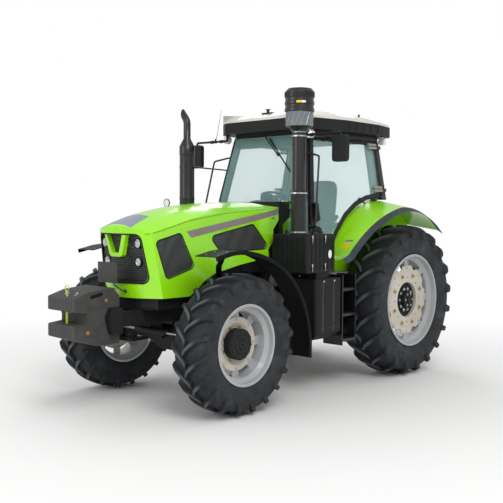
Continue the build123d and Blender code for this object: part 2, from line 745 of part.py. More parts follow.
with BuildPart() as hood:
    add(hood_body(0))
    add(hood_body(hood_wall), mode=Mode.SUBTRACT)
    # everything under the hood's lower edge, round the wheel arch and behind its rear edge
    with BuildSketch(side_plane(600)):
        with BuildLine():
            Polyline(
                (hood_nose_x + 50, hood_lower_z - 60), (hood_nose_x + 50, hood_bottom_z),
                (front_axle_x + 160, hood_bottom_z), (front_axle_x + 70, 1165),
                (front_axle_x - 40, 1249), (front_axle_x - 190, 1319), (front_axle_x - 550, 1393),
                (cowl_x + 200, 1458), (cowl_x + 205, 1540), (cowl_x + 115, 1640), (cowl_x + 118, 1756),
                (cowl_x + 12, 1860), (cowl_x + 12, 1990), (cowl_x + 2, 2100), (cowl_x - 200, 2100),
                (cowl_x - 200, hood_lower_z - 60), close=True)
        make_face()
    extrude(amount=1200, mode=Mode.SUBTRACT)
    # the rear edge of the top is hollowed round the cowl
    with BuildSketch(Plane.XY.offset(2000)):
        with BuildLine():
            ThreePointArc((cowl_x + 10, 425), (cowl_x + 190, 0), (cowl_x + 10, -425))
            Polyline((cowl_x + 10, -425), (cowl_x - 100, -425), (cowl_x - 100, 425), (cowl_x + 10, 425))
        make_face()
    extrude(amount=100, mode=Mode.SUBTRACT)
    # the rear windows lie in a shallow recess
    add(window_recess(), mode=Mode.SUBTRACT)
    # two mesh windows a side
    for corners in hood_windows:
        with BuildSketch(side_plane(600)):
            with BuildLine():
                Polyline(from_front_axle(corners), close=True)
            window = make_face()
            fillet(window.vertices(), 38)
        extrude(amount=1200, mode=Mode.SUBTRACT)
    with BuildSketch(front_plane(hood_nose_x - 250)):
        add(front_outline(opening_corners, 62))
    extrude(amount=300, mode=Mode.SUBTRACT)
    add(nose_band())
save("hood", hood)

screen_thick = 4
headlamp_places = [(250, 1640, 52), (238, 1462, 50)]  # y, z, radius
screen_lap = 12
with BuildPart() as hood_grilles:
    # mesh screens behind the side windows
    add(hood_body(hood_wall + seat_gap))
    add(hood_body(hood_wall + seat_gap + screen_thick), mode=Mode.SUBTRACT)
    with BuildSketch(side_plane(600)):
        for corners in hood_windows:
            with BuildLine():
                Polyline(from_front_axle(corners), close=True)
            make_face()
        offset(amount=screen_lap, kind=Kind.INTERSECTION)
    extrude(amount=1200, mode=Mode.INTERSECT)
    # grille panel, set back in the nose, with a hole for each lamp
    add(grille_panel())
save("hood_grilles", hood_grilles)

lamp_depth = 40
with BuildPart() as headlamps:
    for y, z, radius in headlamp_places:
        face = nose_arc(z, panel_setback, panel_radius, y)[0][0]
        for side in (1, -1):
            with BuildSketch(front_plane(face - lamp_depth)):
                with Locations((side * y, z)):
                    Circle(radius)
            extrude(amount=lamp_depth + 8)
            # the lens lies inside its bezel
            with BuildSketch(front_plane(face)):
                with Locations((side * y, z)):
                    Circle(radius - 12)
            extrude(amount=8, mode=Mode.SUBTRACT)
save("headlamps", headlamps)

# Blank plate ahead of the nose, on two rods from bosses on the hood's lip
plate_x = hood_nose_x + 65
plate_half = 147
plate_low_z = 1262
plate_high_z = 1460
plate_rod_y = 95
plate_rod_radius = 6
boss_z = 1178
with BuildPart() as front_plate:
    with BuildSketch(front_plane(plate_x)):
        with Locations((0, (plate_low_z + plate_high_z) / 2)):
            RectangleRounded(2 * plate_half, plate_high_z - plate_low_z, 12)
    extrude(amount=5)
    for side in (1, -1):
        lip_x = nose_arc(boss_z, 0, nose_radius, plate_rod_y)[0][0]
        with BuildLine() as rod:
            FilletPolyline((plate_x - 2, side * plate_rod_y, plate_high_z - 60),
                           (plate_x - 2, side * plate_rod_y, plate_low_z - 14),
                           (lip_x + 34, side * plate_rod_y, boss_z),
                           (lip_x - 20, side * plate_rod_y, boss_z), radius=12)
        with BuildSketch(Plane(origin=rod.line @ 0, z_dir=rod.line % 0)):
            Circle(plate_rod_radius)
        sweep()
        with BuildSketch(front_plane(lip_x - 20)):
            with Locations((side * plate_rod_y, boss_z)):
                Circle(16)
        extrude(amount=34)
    add(behind_nose(-seat_gap, nose_radius), mode=Mode.SUBTRACT)
save("front_plate", front_plate)

# ---------------------------------------------------------------- front weights and their carrier
carrier_half = 280
weight_count = 10
weight_pitch = 42
with BuildPart() as weight_carrier:
    with BuildSketch(side_plane(carrier_half)):
        with BuildLine():
            Polyline([(frame_front_x + seat_gap, 800), (frame_front_x + seat_gap, 1040),
                      (frame_front_x + 120, 1040), (frame_front_x + 160, 960), (frame_front_x + 120, 800)],
                     close=True)
        make_face()
    extrude(amount=2 * carrier_half)
save("weight_carrier", weight_carrier)

with BuildPart() as front_weights:
    for number in range(weight_count):
        y = (number - (weight_count - 1) / 2) * weight_pitch
        with BuildSketch(side_plane(y + weight_pitch / 2 - seat_gap)):
            with BuildLine():
                Polyline(from_front_axle([(1350, 1159), (1180, 1211), (917, 1235), (840, 1159),
                                          (840, 700), (1090, 702), (1350, 786), (1350, 905), (1200, 920),
                                          (1200, 1011), (1350, 1033)]), close=True)
            plate = make_face()
            fillet(plate.vertices().filter_by(lambda v: v.X > front_axle_x + 1300), 16)
            with BuildLine():
                Polyline([(frame_front_x - 20, 800 - seat_gap), (frame_front_x - 20, 1040 + seat_gap),
                          (frame_front_x + 120 + seat_gap, 1040 + seat_gap),
                          (frame_front_x + 160 + seat_gap, 960),
                          (frame_front_x + 120 + seat_gap, 800 - seat_gap)], close=True)
            make_face(mode=Mode.SUBTRACT)
        extrude(amount=weight_pitch - 2 * seat_gap)
save("front_weights", front_weights)

# ---------------------------------------------------------------- cab
# Each side of the cab is a plane that leans inwards and narrows to the front; the front
# pillars lean back in it. The plane is y = side_y - side_toe * x - side_lean * z, with x
# counted from the rear axle.
side_y = 1210.4
side_toe = 0.0807
side_lean = 0.189
front_lean = 0.184
front_foot_x = rear_axle_x + 1650      # where the front pillars' line meets z = 900
pillar = 70
pillar_inset = 53
corner_half = 838       # half width of the floor behind its front corners


def side_at(x, z):
    """Half width of the cab at x, z, on the outer face of its door glass."""
    return side_y - side_toe * (x - rear_axle_x) - side_lean * z


def front_x(z):
    """x of the front pillars' middle at height z."""
    return front_foot_x - front_lean * (z - 900)


with BuildPart() as cab_floor:
    with BuildSketch(Plane.XY.offset(floor_z)):
        with BuildLine():
            Polyline([(cab_rear_x, -floor_half), (rear_axle_x + 1130, -floor_half),
                      (rear_axle_x + 1250, -corner_half), (front_x(floor_z) + 40, 20 - corner_half),
                      (front_x(floor_z) + 40, corner_half - 20), (rear_axle_x + 1250, corner_half),
                      (rear_axle_x + 1130, floor_half), (cab_rear_x, floor_half)], close=True)
        make_face()
    extrude(amount=floor_thick)
    # fixed panels below the doors' front corners, in the doors' own plane
    for side in (1, -1):
        for z in (floor_z + floor_thick - 10, 1728):
            with BuildSketch(Plane.XY.offset(z)):
                with BuildLine():
                    corners = [(rear_axle_x + 1382, side_at(rear_axle_x + 1382, z) - 1),
                               (front_x(z) - pillar / 2 - seat_gap,
                                side_at(front_x(z) - pillar / 2, z) - 1)]
                    Polyline([(x, side * y) for x, y in corners]
                             + [(x, side * (y - 12)) for x, y in reversed(corners)], close=True)
                make_face()
        loft(ruled=True)
    # rear wall up to the rear window
    with BuildSketch(Plane.XY.offset(floor_z)):
        with Locations((cab_rear_x + 3, 0)):
            Rectangle(6, 2 * floor_half)
    extrude(amount=1820 - floor_z)
save("cab_floor", cab_floor)

cowl_half = 415
with BuildPart() as cowl:
    with BuildSketch(Plane.XY.offset(floor_z + floor_thick + seat_gap)):
        with Locations((cowl_x - 60, 0)):
            Rectangle(60, 2 * cowl_half)
    extrude(amount=640)
    with BuildSketch(Plane.XY.offset(1975)):
        with BuildLine():
            ThreePointArc((cowl_x - 14, cowl_half), (cowl_x + 170, 0), (cowl_x - 14, -cowl_half))
            Polyline((cowl_x - 14, -cowl_half), (cowl_x - 205, -cowl_half), (cowl_x - 205, cowl_half),
                     (cowl_x - 14, cowl_half))
        make_face()
    extrude(amount=70)
save("cowl", cowl)

# Plane with the door pane's outer face: x forward along the cab, y down the lean.
side_normal = Vector(side_toe, 1, side_lean).normalized()
door_origin = Vector(rear_axle_x + 166, side_at(rear_axle_x + 166, 2100), 2100)
door_plane = Plane(origin=door_origin, x_dir=Vector(1, -side_toe, 0), z_dir=side_normal)


def on_door(x_from_rear_axle, z):
    """Local coordinates in the door plane of the point at x, z."""
    x = rear_axle_x + x_from_rear_axle
    local = door_plane.to_local_coords(Vector(x, side_at(x, z), z))
    return (local.X, local.Y)


hinge_offset = 34
hinge_radius = 15
hinge_half = 34         # height of each barrel
hinge_gap = 0.6
hinge_heights = (2230, 2745)


def hinge_plane(z, up):
    """Across the hinge line at height z and this far up it: x forward, y outward from the pane."""
    along = door_plane.to_local_coords(Vector(rear_axle_x + 166, side_at(rear_axle_x + 166, z), z)).Y
    return Plane(origin=door_plane.from_local_coords((0, along - up, 0)), x_dir=door_plane.x_dir,
                 z_dir=-door_plane.y_dir)


def hinge_brackets():
    """The two hinge halves on the left rear pillar."""
    with BuildPart() as brackets:
        for z in hinge_heights:
            with BuildSketch(hinge_plane(z, -hinge_gap / 2)):
                with Locations((0, hinge_offset)):
                    Circle(hinge_radius)
                with BuildLine():
                    Polyline((-80, -26), (-34, -26), (-30, hinge_offset - 14), (0, hinge_offset - 12),
                             (0, hinge_offset + 12), (-44, hinge_offset + 12), (-80, -6), close=True)
                make_face()
            extrude(amount=-hinge_half)
    return brackets.part


with BuildPart() as cab_frame:
    ring_z = cab_top_z - 70
    rear_post_x = cab_rear_x + 40
    outer = [(front_x(cab_top_z) + pillar / 2, side_at(front_x(cab_top_z), cab_top_z) - 18),
             (cab_rear_x, side_at(cab_rear_x, cab_top_z) - 18)]
    with BuildSketch(Plane.XY.offset(ring_z)):
        with BuildLine():
            Polyline(outer + [(x, -y) for x, y in reversed(outer)], close=True)
        make_face()
        with BuildLine():
            inner = [(outer[0][0] - 60, outer[0][1] - 60), (outer[1][0] + 60, outer[1][1] - 60)]
            Polyline(inner + [(x, -y) for x, y in reversed(inner)], close=True)
        make_face(mode=Mode.SUBTRACT)
    extrude(amount=cab_top_z - ring_z)
    for side in (1, -1):
        for z in (floor_z + floor_thick + seat_gap, ring_z + 5):
            with BuildSketch(Plane.XY.offset(z)):
                with Locations((front_x(z), side * (side_at(front_x(z), z) - pillar_inset))):
                    Rectangle(pillar, pillar)
        loft()
        for z in (2103, ring_z + 5):
            with BuildSketch(Plane.XY.offset(z)):
                with Locations((rear_post_x, side * (side_at(rear_post_x, z) - pillar_inset))):
                    Rectangle(80, pillar)
        loft()
    # the pillars' halves of the door hinges
    add(hinge_brackets())
    mirror(hinge_brackets(), about=Plane.XZ)
save("cab_frame", cab_frame)

# windscreen, the two low corner panes beside the cowl, and the rear window
screen_top_z = cab_top_z - 12
screen_angle = degrees(atan2(front_lean, 1))
screen_plane = Plane(
    origin=(front_x(0) + pillar / 2 + seat_gap, 0, 0),
    x_dir=(0, 1, 0),
    z_dir=(cos(radians(screen_angle)), 0, sin(radians(screen_angle))))


def on_screen(y, z):
    return (y, z / cos(radians(screen_angle)))


with BuildPart() as cab_glass:
    with BuildSketch(screen_plane):
        with BuildLine():
            low, high = 2052, ring_z + 40
            edge = [(side_at(front_x(z), z) - 22, z) for z in (low, high)]
            Polyline([on_screen(y, z) for y, z in edge]
                     + [on_screen(-y, z) for y, z in reversed(edge)], close=True)
        make_face()
        for side in (1, -1):
            with BuildLine():
                low = floor_z + floor_thick + 120
                edge = [(side_at(front_x(z), z) - 22, z) for z in (low, 2048)]
                Polyline([on_screen(side * y, z) for y, z in edge]
                         + [on_screen(side * (cowl_half + 45), z) for z in (2048, low)], close=True)
            make_face()
    extrude(amount=door_glass)
    with BuildSketch(front_plane(cab_rear_x - seat_gap)):
        with BuildLine():
            half = [(645, 1823), (645, 2108), (side_at(cab_rear_x, 2108) - 22, 2108),
                    (side_at(cab_rear_x, ring_z + 40) - 22, ring_z + 40)]
            Polyline(half + [(-y, z) for y, z in reversed(half)], close=True)
        make_face()
    extrude(amount=-door_glass)
save("cab_glass", cab_glass)

# Doors: a flat pane a side, hung on the rear pillar.
door_top_z = 2812
door_front = [(front_x(z) + 2, z) for z in (door_top_z, 1742)]
with BuildPart() as door_glass_part:
    with BuildSketch(door_plane):
        with BuildLine():
            Polyline([on_door(x - rear_axle_x, z) for x, z in door_front]
                     + [on_door(x, z) for x, z in (
                         (1372, 1742), (1345, 1472), (1252, 1478), (1070, 1712), (882, 1892), (672, 2022),
                         (460, 2098), (250, 2128), (155, 2128), (145, door_top_z))], close=True)
        make_face()
    extrude(amount=-door_glass)
save_pair("door_glass", door_glass_part)

# Hinge line: outside the pane, up the lean. Each hinge is a barrel on the rear pillar under a
# barrel on the door's strap.
with BuildPart() as door_fittings:
    for z in hinge_heights:
        with BuildSketch(hinge_plane(z, hinge_gap / 2)):
            with Locations((0, hinge_offset)):
                Circle(hinge_radius)
            with BuildLine():
                Polyline((0, seat_gap), (150, seat_gap), (150, 11), (24, 14), (12, hinge_offset + 6),
                         (0, hinge_offset), close=True)
            make_face()
        extrude(amount=hinge_half)
    with BuildSketch(door_plane.offset(seat_gap)):
        with Locations(on_door(1385, 1950)):
            RectangleRounded(54, 210, 20)
    extrude(amount=38)
save_pair("door_fittings", door_fittings)

roof_half = 800
roof_front_x = rear_axle_x + 1500
roof_rear_x = rear_axle_x - 160
with BuildPart() as roof_skirt:
    outline = [(roof_front_x + 40, 520), (roof_front_x - 100, 690), (rear_axle_x + 900, roof_half),
               (rear_axle_x + 250, roof_half), (roof_rear_x + 60, 720), (roof_rear_x, 560)]
    with BuildSketch(Plane.XY.offset(roof_base_z)):
        with BuildLine():
            Polyline(outline + [(x, -y) for x, y in reversed(outline)], close=True)
        make_face()
    extrude(amount=120)
    with BuildSketch(Plane.XY.offset(roof_base_z + 20)):
        with BuildLine():
            Polyline([(x - 25 if x > 0 else x + 25, y - 30) for x, y in outline]
                     + [(x - 25 if x > 0 else x + 25, -y + 30) for x, y in reversed(outline)], close=True)
        make_face()
    extrude(amount=100, mode=Mode.SUBTRACT)
save("roof_skirt", roof_skirt)

with BuildPart() as cab_roof:
    for z, shrink in ((roof_base_z + 120 + seat_gap, 0), (roof_base_z + 160, 20), (roof_base_z + 215, 160)):
        with BuildSketch(Plane.XY.offset(z)):
            with BuildLine():
                Polyline([(x - shrink if x > 0 else x + shrink, y - shrink) for x, y in outline]
                         + [(x - shrink if x > 0 else x + shrink, -y + shrink)
                            for x, y in reversed(outline)], close=True)
            make_face()
    loft(ruled=True)
save("cab_roof", cab_roof)

# ---------------------------------------------------------------- inside the cab
floor_top_z = floor_z + floor_thick + seat_gap
wheel_tilt = 35
column_length = 70
column = Plane(origin=(cowl_x - 478, 0, 2062), x_dir=(0, 1, 0),
               z_dir=(-sin(radians(wheel_tilt)), 0, cos(radians(wheel_tilt))))


def column_face(distance):
    """x, z on the pod's face under the steering column, this far forward of the column's line."""
    depth = column_length + seat_gap
    across = distance * cos(radians(wheel_tilt)) + depth * sin(radians(wheel_tilt))
    down = depth * cos(radians(wheel_tilt)) - distance * sin(radians(wheel_tilt))
    return (column.origin.X + across, column.origin.Z - down)


with BuildPart() as dashboard:
    with BuildSketch(side_plane(190)):
        with BuildLine():
            Polyline([(cowl_x - 95, floor_top_z), (cowl_x - 95, 1960), (cowl_x - 215, 1968),
                      (cowl_x - 215, 2075), column_face(150), column_face(-90),
                      (cowl_x - 480, 1890), (cowl_x - 330, 1790), (cowl_x - 250, floor_top_z)], close=True)
        make_face()
    extrude(amount=380)
save("dashboard", dashboard)

with BuildPart() as steering_wheel:
    with BuildSketch(column):
        with PolarLocations(100, 3, start_angle=90):
            Rectangle(170, 30)
        Circle(48)
    extrude(amount=20)
    with BuildSketch(Plane(origin=column.from_local_coords((186, 0, 13)), x_dir=column.x_dir,
                           z_dir=column.y_dir)):
        Circle(14)
    revolve(axis=Axis(column.origin, column.z_dir))
    with BuildSketch(column):
        Circle(24)
    extrude(amount=-column_length)
save("steering_wheel", steering_wheel)

seat_x = rear_axle_x + 560
with BuildPart() as seat:
    with BuildSketch(Plane.XY.offset(floor_top_z)):
        with Locations((seat_x, 0)):
            Rectangle(360, 340)
    extrude(amount=300)
    with BuildSketch(Plane.XY.offset(floor_top_z + 300)):
        with Locations((seat_x + 20, 0)):
            Rectangle(500, 500)
    extrude(amount=110)
    with BuildSketch(side_plane(240)):
        with BuildLine():
            Polyline([(seat_x - 230, floor_top_z + 360), (seat_x - 110, floor_top_z + 360),
                      (seat_x - 200, floor_top_z + 1010), (seat_x - 300, floor_top_z + 1010)], close=True)
        make_face()
    extrude(amount=480)
save("seat", seat)

# ---------------------------------------------------------------- rear fenders
# A fender's top is ruled between two side profiles, each a short flange and two arcs. Columns:
# y, front end, foot, middle of the front arc, crown, middle of the rear arc, rear end.
fender_profiles = [
    (fender_inner_y, (1275, 1352), (1195, 1440), (865, 1815), (250, 2100), (-250, 2035), (-640, 1800)),
    (fender_outer_y, (1372, 1448), (1262, 1490), (825, 1800), (200, 2012), (-250, 1950), (-640, 1735)),
]


def fender_edge(profile):
    return from_rear_axle(profile[1:])


with BuildPart() as rear_fender:
    for profile in fender_profiles:
        front, foot, front_mid, crown, rear_mid, rear = fender_edge(profile)
        with BuildSketch(side_plane(profile[0])):
            with BuildLine():
                Line(front, foot)
                ThreePointArc(foot, front_mid, crown)
                ThreePointArc(crown, rear_mid, rear)
                Line(rear, (rear[0], rear[1] - fender_thick))
                low = [(x, z - fender_thick) for x, z in (rear, rear_mid, crown, front_mid, foot, front)]
                ThreePointArc(low[0], low[1], low[2])
                ThreePointArc(low[2], low[3], low[4])
                Line(low[4], low[5])
                Line(low[5], front)
            make_face()
    loft(ruled=True)
    front, foot, front_mid, crown, rear_mid, rear = fender_edge(fender_profiles[0])
    with BuildSketch(side_plane(fender_inner_y + fender_thick)):
        with BuildLine():
            low = [(x, z - fender_thick / 2) for x, z in (foot, front_mid, crown, rear_mid, rear)]
            ThreePointArc(low[0], low[1], low[2])
            ThreePointArc(low[2], low[3], low[4])
            Polyline(low[4], (rear[0] + 340, floor_z + 5), (foot[0] - 125, floor_z + 5), low[0])
        make_face()
    extrude(amount=fender_thick)
save_pair("rear_fender", rear_fender)

with BuildPart() as fender_flares:
    for y, drop in ((fender_outer_y + seat_gap, 0), (fender_flare_y, 42)):
        front, foot, front_mid, crown, rear_mid, rear = [
            (x, z - drop) for x, z in fender_edge(fender_profiles[1])]
        with BuildSketch(side_plane(y)):
            with BuildLine():
                Line(front, foot)
                ThreePointArc(foot, front_mid, crown)
                ThreePointArc(crown, rear_mid, rear)
                Line(rear, (rear[0], rear[1] - fender_thick))
                low = [(x, z - fender_thick) for x, z in (rear, rear_mid, crown, front_mid, foot, front)]
                ThreePointArc(low[0], low[1], low[2])
                ThreePointArc(low[2], low[3], low[4])
                Line(low[4], low[5])
                Line(low[5], front)
            make_face()
    loft(ruled=True)
    mirror(about=Plane.XZ)
save("fender_flares", fender_flares)

# ---------------------------------------------------------------- tank, battery box, air cleaner
tank_inner_y = outrigger_half
tank_outer_y = 1000
tank_rear_x = rear_axle_x + 1270
tank_front_x = front_axle_x - 1160
tank_low_z = 580
tank_high_z = 1235
strap_width = 34
strap_depth = 5
for name, side in (("fuel_tank", 1), ("battery_box", -1)):
    with BuildPart() as tank:
        with BuildSketch(front_plane(tank_rear_x)):
            with BuildLine():
                # with a chamfered low outer edge
                half = [(tank_inner_y, tank_low_z), (tank_outer_y - 60, tank_low_z),
                        (tank_outer_y, tank_low_z + 70), (tank_outer_y, tank_high_z),
                        (tank_inner_y, tank_high_z)]
                Polyline([(side * y, z) for y, z in half], close=True)
            make_face()
        extrude(amount=tank_front_x - tank_rear_x)
        corner = [edge for edge in tank.edges().filter_by(Axis.Z).group_by(Axis.X)[-1]
                  if abs(edge.center().Y) > tank_inner_y + 100]
        fillet(corner, 55)
        # grooves for the two straps, down the outer face
        for share in (0.28, 0.72):
            with BuildSketch(front_plane(tank_rear_x + share * (tank_front_x - tank_rear_x))):
                with Locations((side * (tank_outer_y - strap_depth / 2 + 10), (tank_low_z + tank_high_z) / 2)):
                    Rectangle(strap_depth + 20, tank_high_z - tank_low_z + 20)
            extrude(amount=strap_width / 2, both=True, mode=Mode.SUBTRACT)
    save(name, tank)

filter_top_z = 1710
filter_bottom_z = 1310
filter_rows = 6
filter_columns = 7
groove_width = 14
groove_depth = 7
with BuildPart() as air_filter:
    with BuildSketch(Plane.XY.offset(filter_bottom_z)):
        with BuildLine():
            Polyline([(rear_axle_x + 1672, 525), (rear_axle_x + 1880, 525), (rear_axle_x + 1880, 1020),
                      (rear_axle_x + 1395, 1020), (rear_axle_x + 1395, 862), (rear_axle_x + 1672, 862)],
                     close=True)
        box = make_face()
        fillet(box.vertices(), 28)
    extrude(amount=filter_top_z - filter_bottom_z)
    # a grid of grooves leaves raised pads on the outer face and the front
    for number in range(1, filter_rows):
        z = filter_bottom_z + number * (filter_top_z - filter_bottom_z) / filter_rows
        with BuildSketch(front_plane(rear_axle_x + 1395 + 30)):
            with Locations((1020, z)):
                Rectangle(2 * groove_depth, groove_width)
        extrude(amount=485 - 60, mode=Mode.SUBTRACT)
        with BuildSketch(side_plane(1020 - 30)):
            with Locations((rear_axle_x + 1880, z)):
                Rectangle(2 * groove_depth, groove_width)
        extrude(amount=495 - 60, mode=Mode.SUBTRACT)
    for number in range(1, filter_columns):
        pitch = 485 / filter_columns
        with BuildSketch(Plane.XY.offset(filter_bottom_z + 30)):
            with Locations((rear_axle_x + 1395 + number * pitch, 1020)):
                Rectangle(groove_width, 2 * groove_depth)
            with Locations((rear_axle_x + 1880, 1020 - number * pitch)):
                Rectangle(2 * groove_depth, groove_width)
        extrude(amount=filter_top_z - filter_bottom_z - 60, mode=Mode.SUBTRACT)
    with BuildSketch(Plane.XY.offset(1235 + seat_gap)):
        with Locations((rear_axle_x + 1570, 920)):
            Rectangle(200, 110)
    extrude(amount=filter_bottom_z - 1235)
save("air_filter", air_filter)

intake_x = rear_axle_x + 1762
intake_y = 800
# half section of the intake pipe and its pre-cleaner, by radius and height
intake_profile = [
    (0, filter_top_z + seat_gap), (84, filter_top_z + seat_gap), (84, 2130), (89, 2130), (89, 2165),
    (73, 2172), (73, 2735), (78, 2735), (78, 2765), (73, 2765), (73, 2790), (112, 2838), (146, 2850),
    (146, 3000), (158, 3004), (158, 3040), (151, 3044), (151, 3076), (158, 3080), (158, 3112),
    (151, 3116), (151, 3148), (158, 3152), (158, 3212), (132, 3246), (60, 3262), (0, 3262)]
with BuildPart() as air_intake:
    with BuildSketch(side_plane(intake_y)):
        with BuildLine():
            Polyline([(intake_x + radius, z) for radius, z in intake_profile], close=True)
        make_face()
    revolve(axis=Axis((intake_x, intake_y, 0), (0, 0, 1)))
save("air_intake", air_intake)

exhaust_x = rear_axle_x + 2110
exhaust_y = -568
can_foot_z = 1700
neck_radius = 41
# half section of the silencer, by radius and height
can_profile = [(0, can_foot_z), (70, can_foot_z), (85, can_foot_z + 16), (85, 2085), (88, 2088), (88, 2110),
               (85, 2113), (85, 2590), (88, 2593), (88, 2690), (neck_radius, 2780), (0, 2780)]
with BuildPart() as exhaust:
    with BuildSketch(side_plane(exhaust_y)):
        with BuildLine():
            Polyline([(exhaust_x + radius, z) for radius, z in can_profile], close=True)
        make_face()
    revolve(axis=Axis((exhaust_x, exhaust_y, 0), (0, 0, 1)))
    # neck, bent outwards at its tip and cut upright
    with BuildLine() as neck:
        FilletPolyline((exhaust_x, exhaust_y, 2770), (exhaust_x, exhaust_y, 2985),
                       (exhaust_x, exhaust_y - 150, 3160), radius=120)
    with BuildSketch(Plane(origin=neck.line @ 0, z_dir=neck.line % 0)):
        Circle(neck_radius)
    sweep()
    with BuildSketch(side_plane(exhaust_y - 62)):
        with Locations((exhaust_x, 3060)):
            Rectangle(300, 500)
    extrude(amount=300, mode=Mode.SUBTRACT)
    with BuildSketch(Plane.XY.offset(1337)):
        with Locations((exhaust_x, exhaust_y)):
            Circle(38)
    extrude(amount=can_foot_z - 1337)
    with BuildSketch(side_plane(exhaust_y)):
        with Locations((exhaust_x, 1375)):
            Circle(37)
    extrude(amount=exhaust_y + engine_half + seat_gap)
save("exhaust", exhaust)

# ---------------------------------------------------------------- steps, rails, mirrors, lamps
with BuildPart() as steps:
    for side in (1, -1):
        for z in (520, 800, 1080):
            with BuildSketch(Plane.XY.offset(z)):
                with Locations((rear_axle_x + 1120, side * 880)):
                    Rectangle(260, 260)
            extrude(amount=30)
        for x in (rear_axle_x + 1000, rear_axle_x + 1240):
            with BuildSketch(Plane.XY.offset(480)):
                with Locations((x, side * 880)):
                    Rectangle(16, 260)
            extrude(amount=floor_z - seat_gap - 480)
save("steps", steps)

rail_radius = 11
with BuildPart() as grab_rails:
    ends = []
    for z in (2600, 1790):
        x = front_x(z) + 22
        ends.append(Vector(x, side_at(front_x(z), z) - 15.4, z))
    with BuildLine() as rail_path:
        FilletPolyline(ends[0], ends[0] + (0, 50, 0), (ends[0].X + 70, 810, 2560),
                       (ends[1].X + 70, 880, 1790), ends[1] + (0, 50, 0), ends[1], radius=30)
    with BuildSketch(Plane(origin=rail_path.line @ 0, z_dir=rail_path.line % 0)):
        Circle(rail_radius)
    sweep()
    mirror(about=Plane.XZ)
save("grab_rails", grab_rails)

mirror_x = rear_axle_x + 1440
mirror_y = 1105
with BuildPart() as mirrors:
    with BuildLine() as mirror_arm:
        FilletPolyline((mirror_x - 20, 600, roof_base_z - seat_gap), (mirror_x - 20, 600, 2800),
                       (mirror_x, mirror_y, 2800), (mirror_x, mirror_y, 2760), radius=24)
    with BuildSketch(Plane(origin=mirror_arm.line @ 0, z_dir=mirror_arm.line % 0)):
        Circle(13)
    sweep()
    with BuildSketch(front_plane(mirror_x - 28)):
        with Locations((mirror_y, 2630)):
            RectangleRounded(190, 285, 40)
    extrude(amount=56)
    mirror(about=Plane.XZ)
save("mirrors", mirrors)

with BuildPart() as roof_lamps:
    for side in (1, -1):
        with BuildSketch(front_plane(rear_axle_x + 1345)):
            with Locations((side * 640, 2815)):
                Circle(45)
            with Locations((side * 640, roof_base_z - seat_gap - 15)):
                Rectangle(30, 30)
        extrude(amount=55)
        with BuildSketch(front_plane(cab_rear_x - 12)):
            with Locations((side * 690, 2815)):
                Circle(42)
            with Locations((side * 690, roof_base_z - seat_gap - 15)):
                Rectangle(30, 30)
        extrude(amount=-50)
save("roof_lamps", roof_lamps)

# ---------------------------------------------------------------- three-point hitch and drawbar
rod_x = lift_x - 380
rod_top_z = lift_z + 45
rod_bottom_z = link_z + 22
rod_pin_radius = 13
arm_half = 18
link_half = 16
with BuildPart() as lift_arms:
    with BuildSketch(side_plane(link_front_y)):
        with Locations((lift_x, lift_z)):
            Circle(lift_shaft_radius)
    extrude(amount=2 * link_front_y)
    for side in (1, -1):
        with BuildSketch(side_plane(side * link_front_y + arm_half)):
            with BuildLine():
                Polyline([(lift_x + 52, lift_z - 40), (lift_x + 52, lift_z + 50), (lift_x - 60, lift_z + 84),
                          (rod_x - 30, rod_top_z + 26), (rod_x - 34, rod_top_z - 20),
                          (lift_x - 60, lift_z - 40)], close=True)
            arm = make_face()
            fillet(arm.vertices(), 16)
            with Locations((rod_x, rod_top_z)):
                Circle(rod_pin_radius + knuckle_gap, mode=Mode.SUBTRACT)
        extrude(amount=2 * arm_half)
save("lift_arms", lift_arms)

with BuildPart() as lower_links:
    for side in (1, -1):
        with BuildSketch(Plane.XY.offset(link_z - 60)):
            with BuildLine():
                Polyline((link_x + 50, side * link_front_y), (rod_x - 60, side * link_front_y),
                         (hitch_pin_x + 110, side * link_rear_y), (hitch_pin_x - 60, side * link_rear_y))
                offset(amount=link_half, side=Side.BOTH, kind=Kind.INTERSECTION)
            make_face()
        extrude(amount=160)
    with BuildSketch(side_plane(500)):
        with BuildLine():
            Polyline([(link_x + 36, link_z - 34), (link_x + 36, link_z + 34), (rod_x, link_z + 54),
                      (hitch_pin_x - 35, 642), (hitch_pin_x - 60, 600), (hitch_pin_x - 35, 558),
                      (rod_x, link_z - 14)], close=True)
        profile = make_face()
        fillet(profile.vertices().filter_by(lambda v: v.X < hitch_pin_x or v.X > link_x), 18)
        with Locations((hitch_pin_x, 600)):
            Circle(hitch_bore_radius, mode=Mode.SUBTRACT)
        with Locations((link_x, link_z)):
            Circle(link_pin_radius + knuckle_gap, mode=Mode.SUBTRACT)
    extrude(amount=1000, mode=Mode.INTERSECT)
save("lower_links", lower_links)

# Lift rods: each hangs on a pin through its arm. Its lower fork straddles the lower link.
with BuildPart() as lift_rods:
    for side in (1, -1):
        with BuildSketch(Plane.XY.offset(rod_bottom_z + 75)):
            with Locations((rod_x, side * link_front_y)):
                Circle(19)
        extrude(amount=rod_top_z - rod_bottom_z - 2 * 75)
        for z, reach, inner in ((rod_top_z, 55, arm_half), (rod_bottom_z, 75, link_half)):
            direction = -1 if z == rod_top_z else 1
            with BuildSketch(front_plane(rod_x - 24)):
                with BuildLine():
                    cheek = inner + fork_gap
                    half_fork = [(cheek + 11, z - direction * 26), (cheek, z - direction * 26),
                                 (cheek, z + direction * reach)]
                    crown = [(cheek + 11, z + direction * (reach + 20))]
                    fork = crown + half_fork + [(-y, z) for y, z in reversed(half_fork)] \
                        + [(-y, z) for y, z in crown]
                    Polyline([(side * link_front_y + y, z) for y, z in fork], close=True)
                make_face()
            extrude(amount=48)
        with BuildSketch(side_plane(side * link_front_y + arm_half + fork_gap + 8)):
            with Locations((rod_x, rod_top_z)):
                Circle(rod_pin_radius)
        extrude(amount=2 * (arm_half + fork_gap + 8))
save("lift_rods", lift_rods)

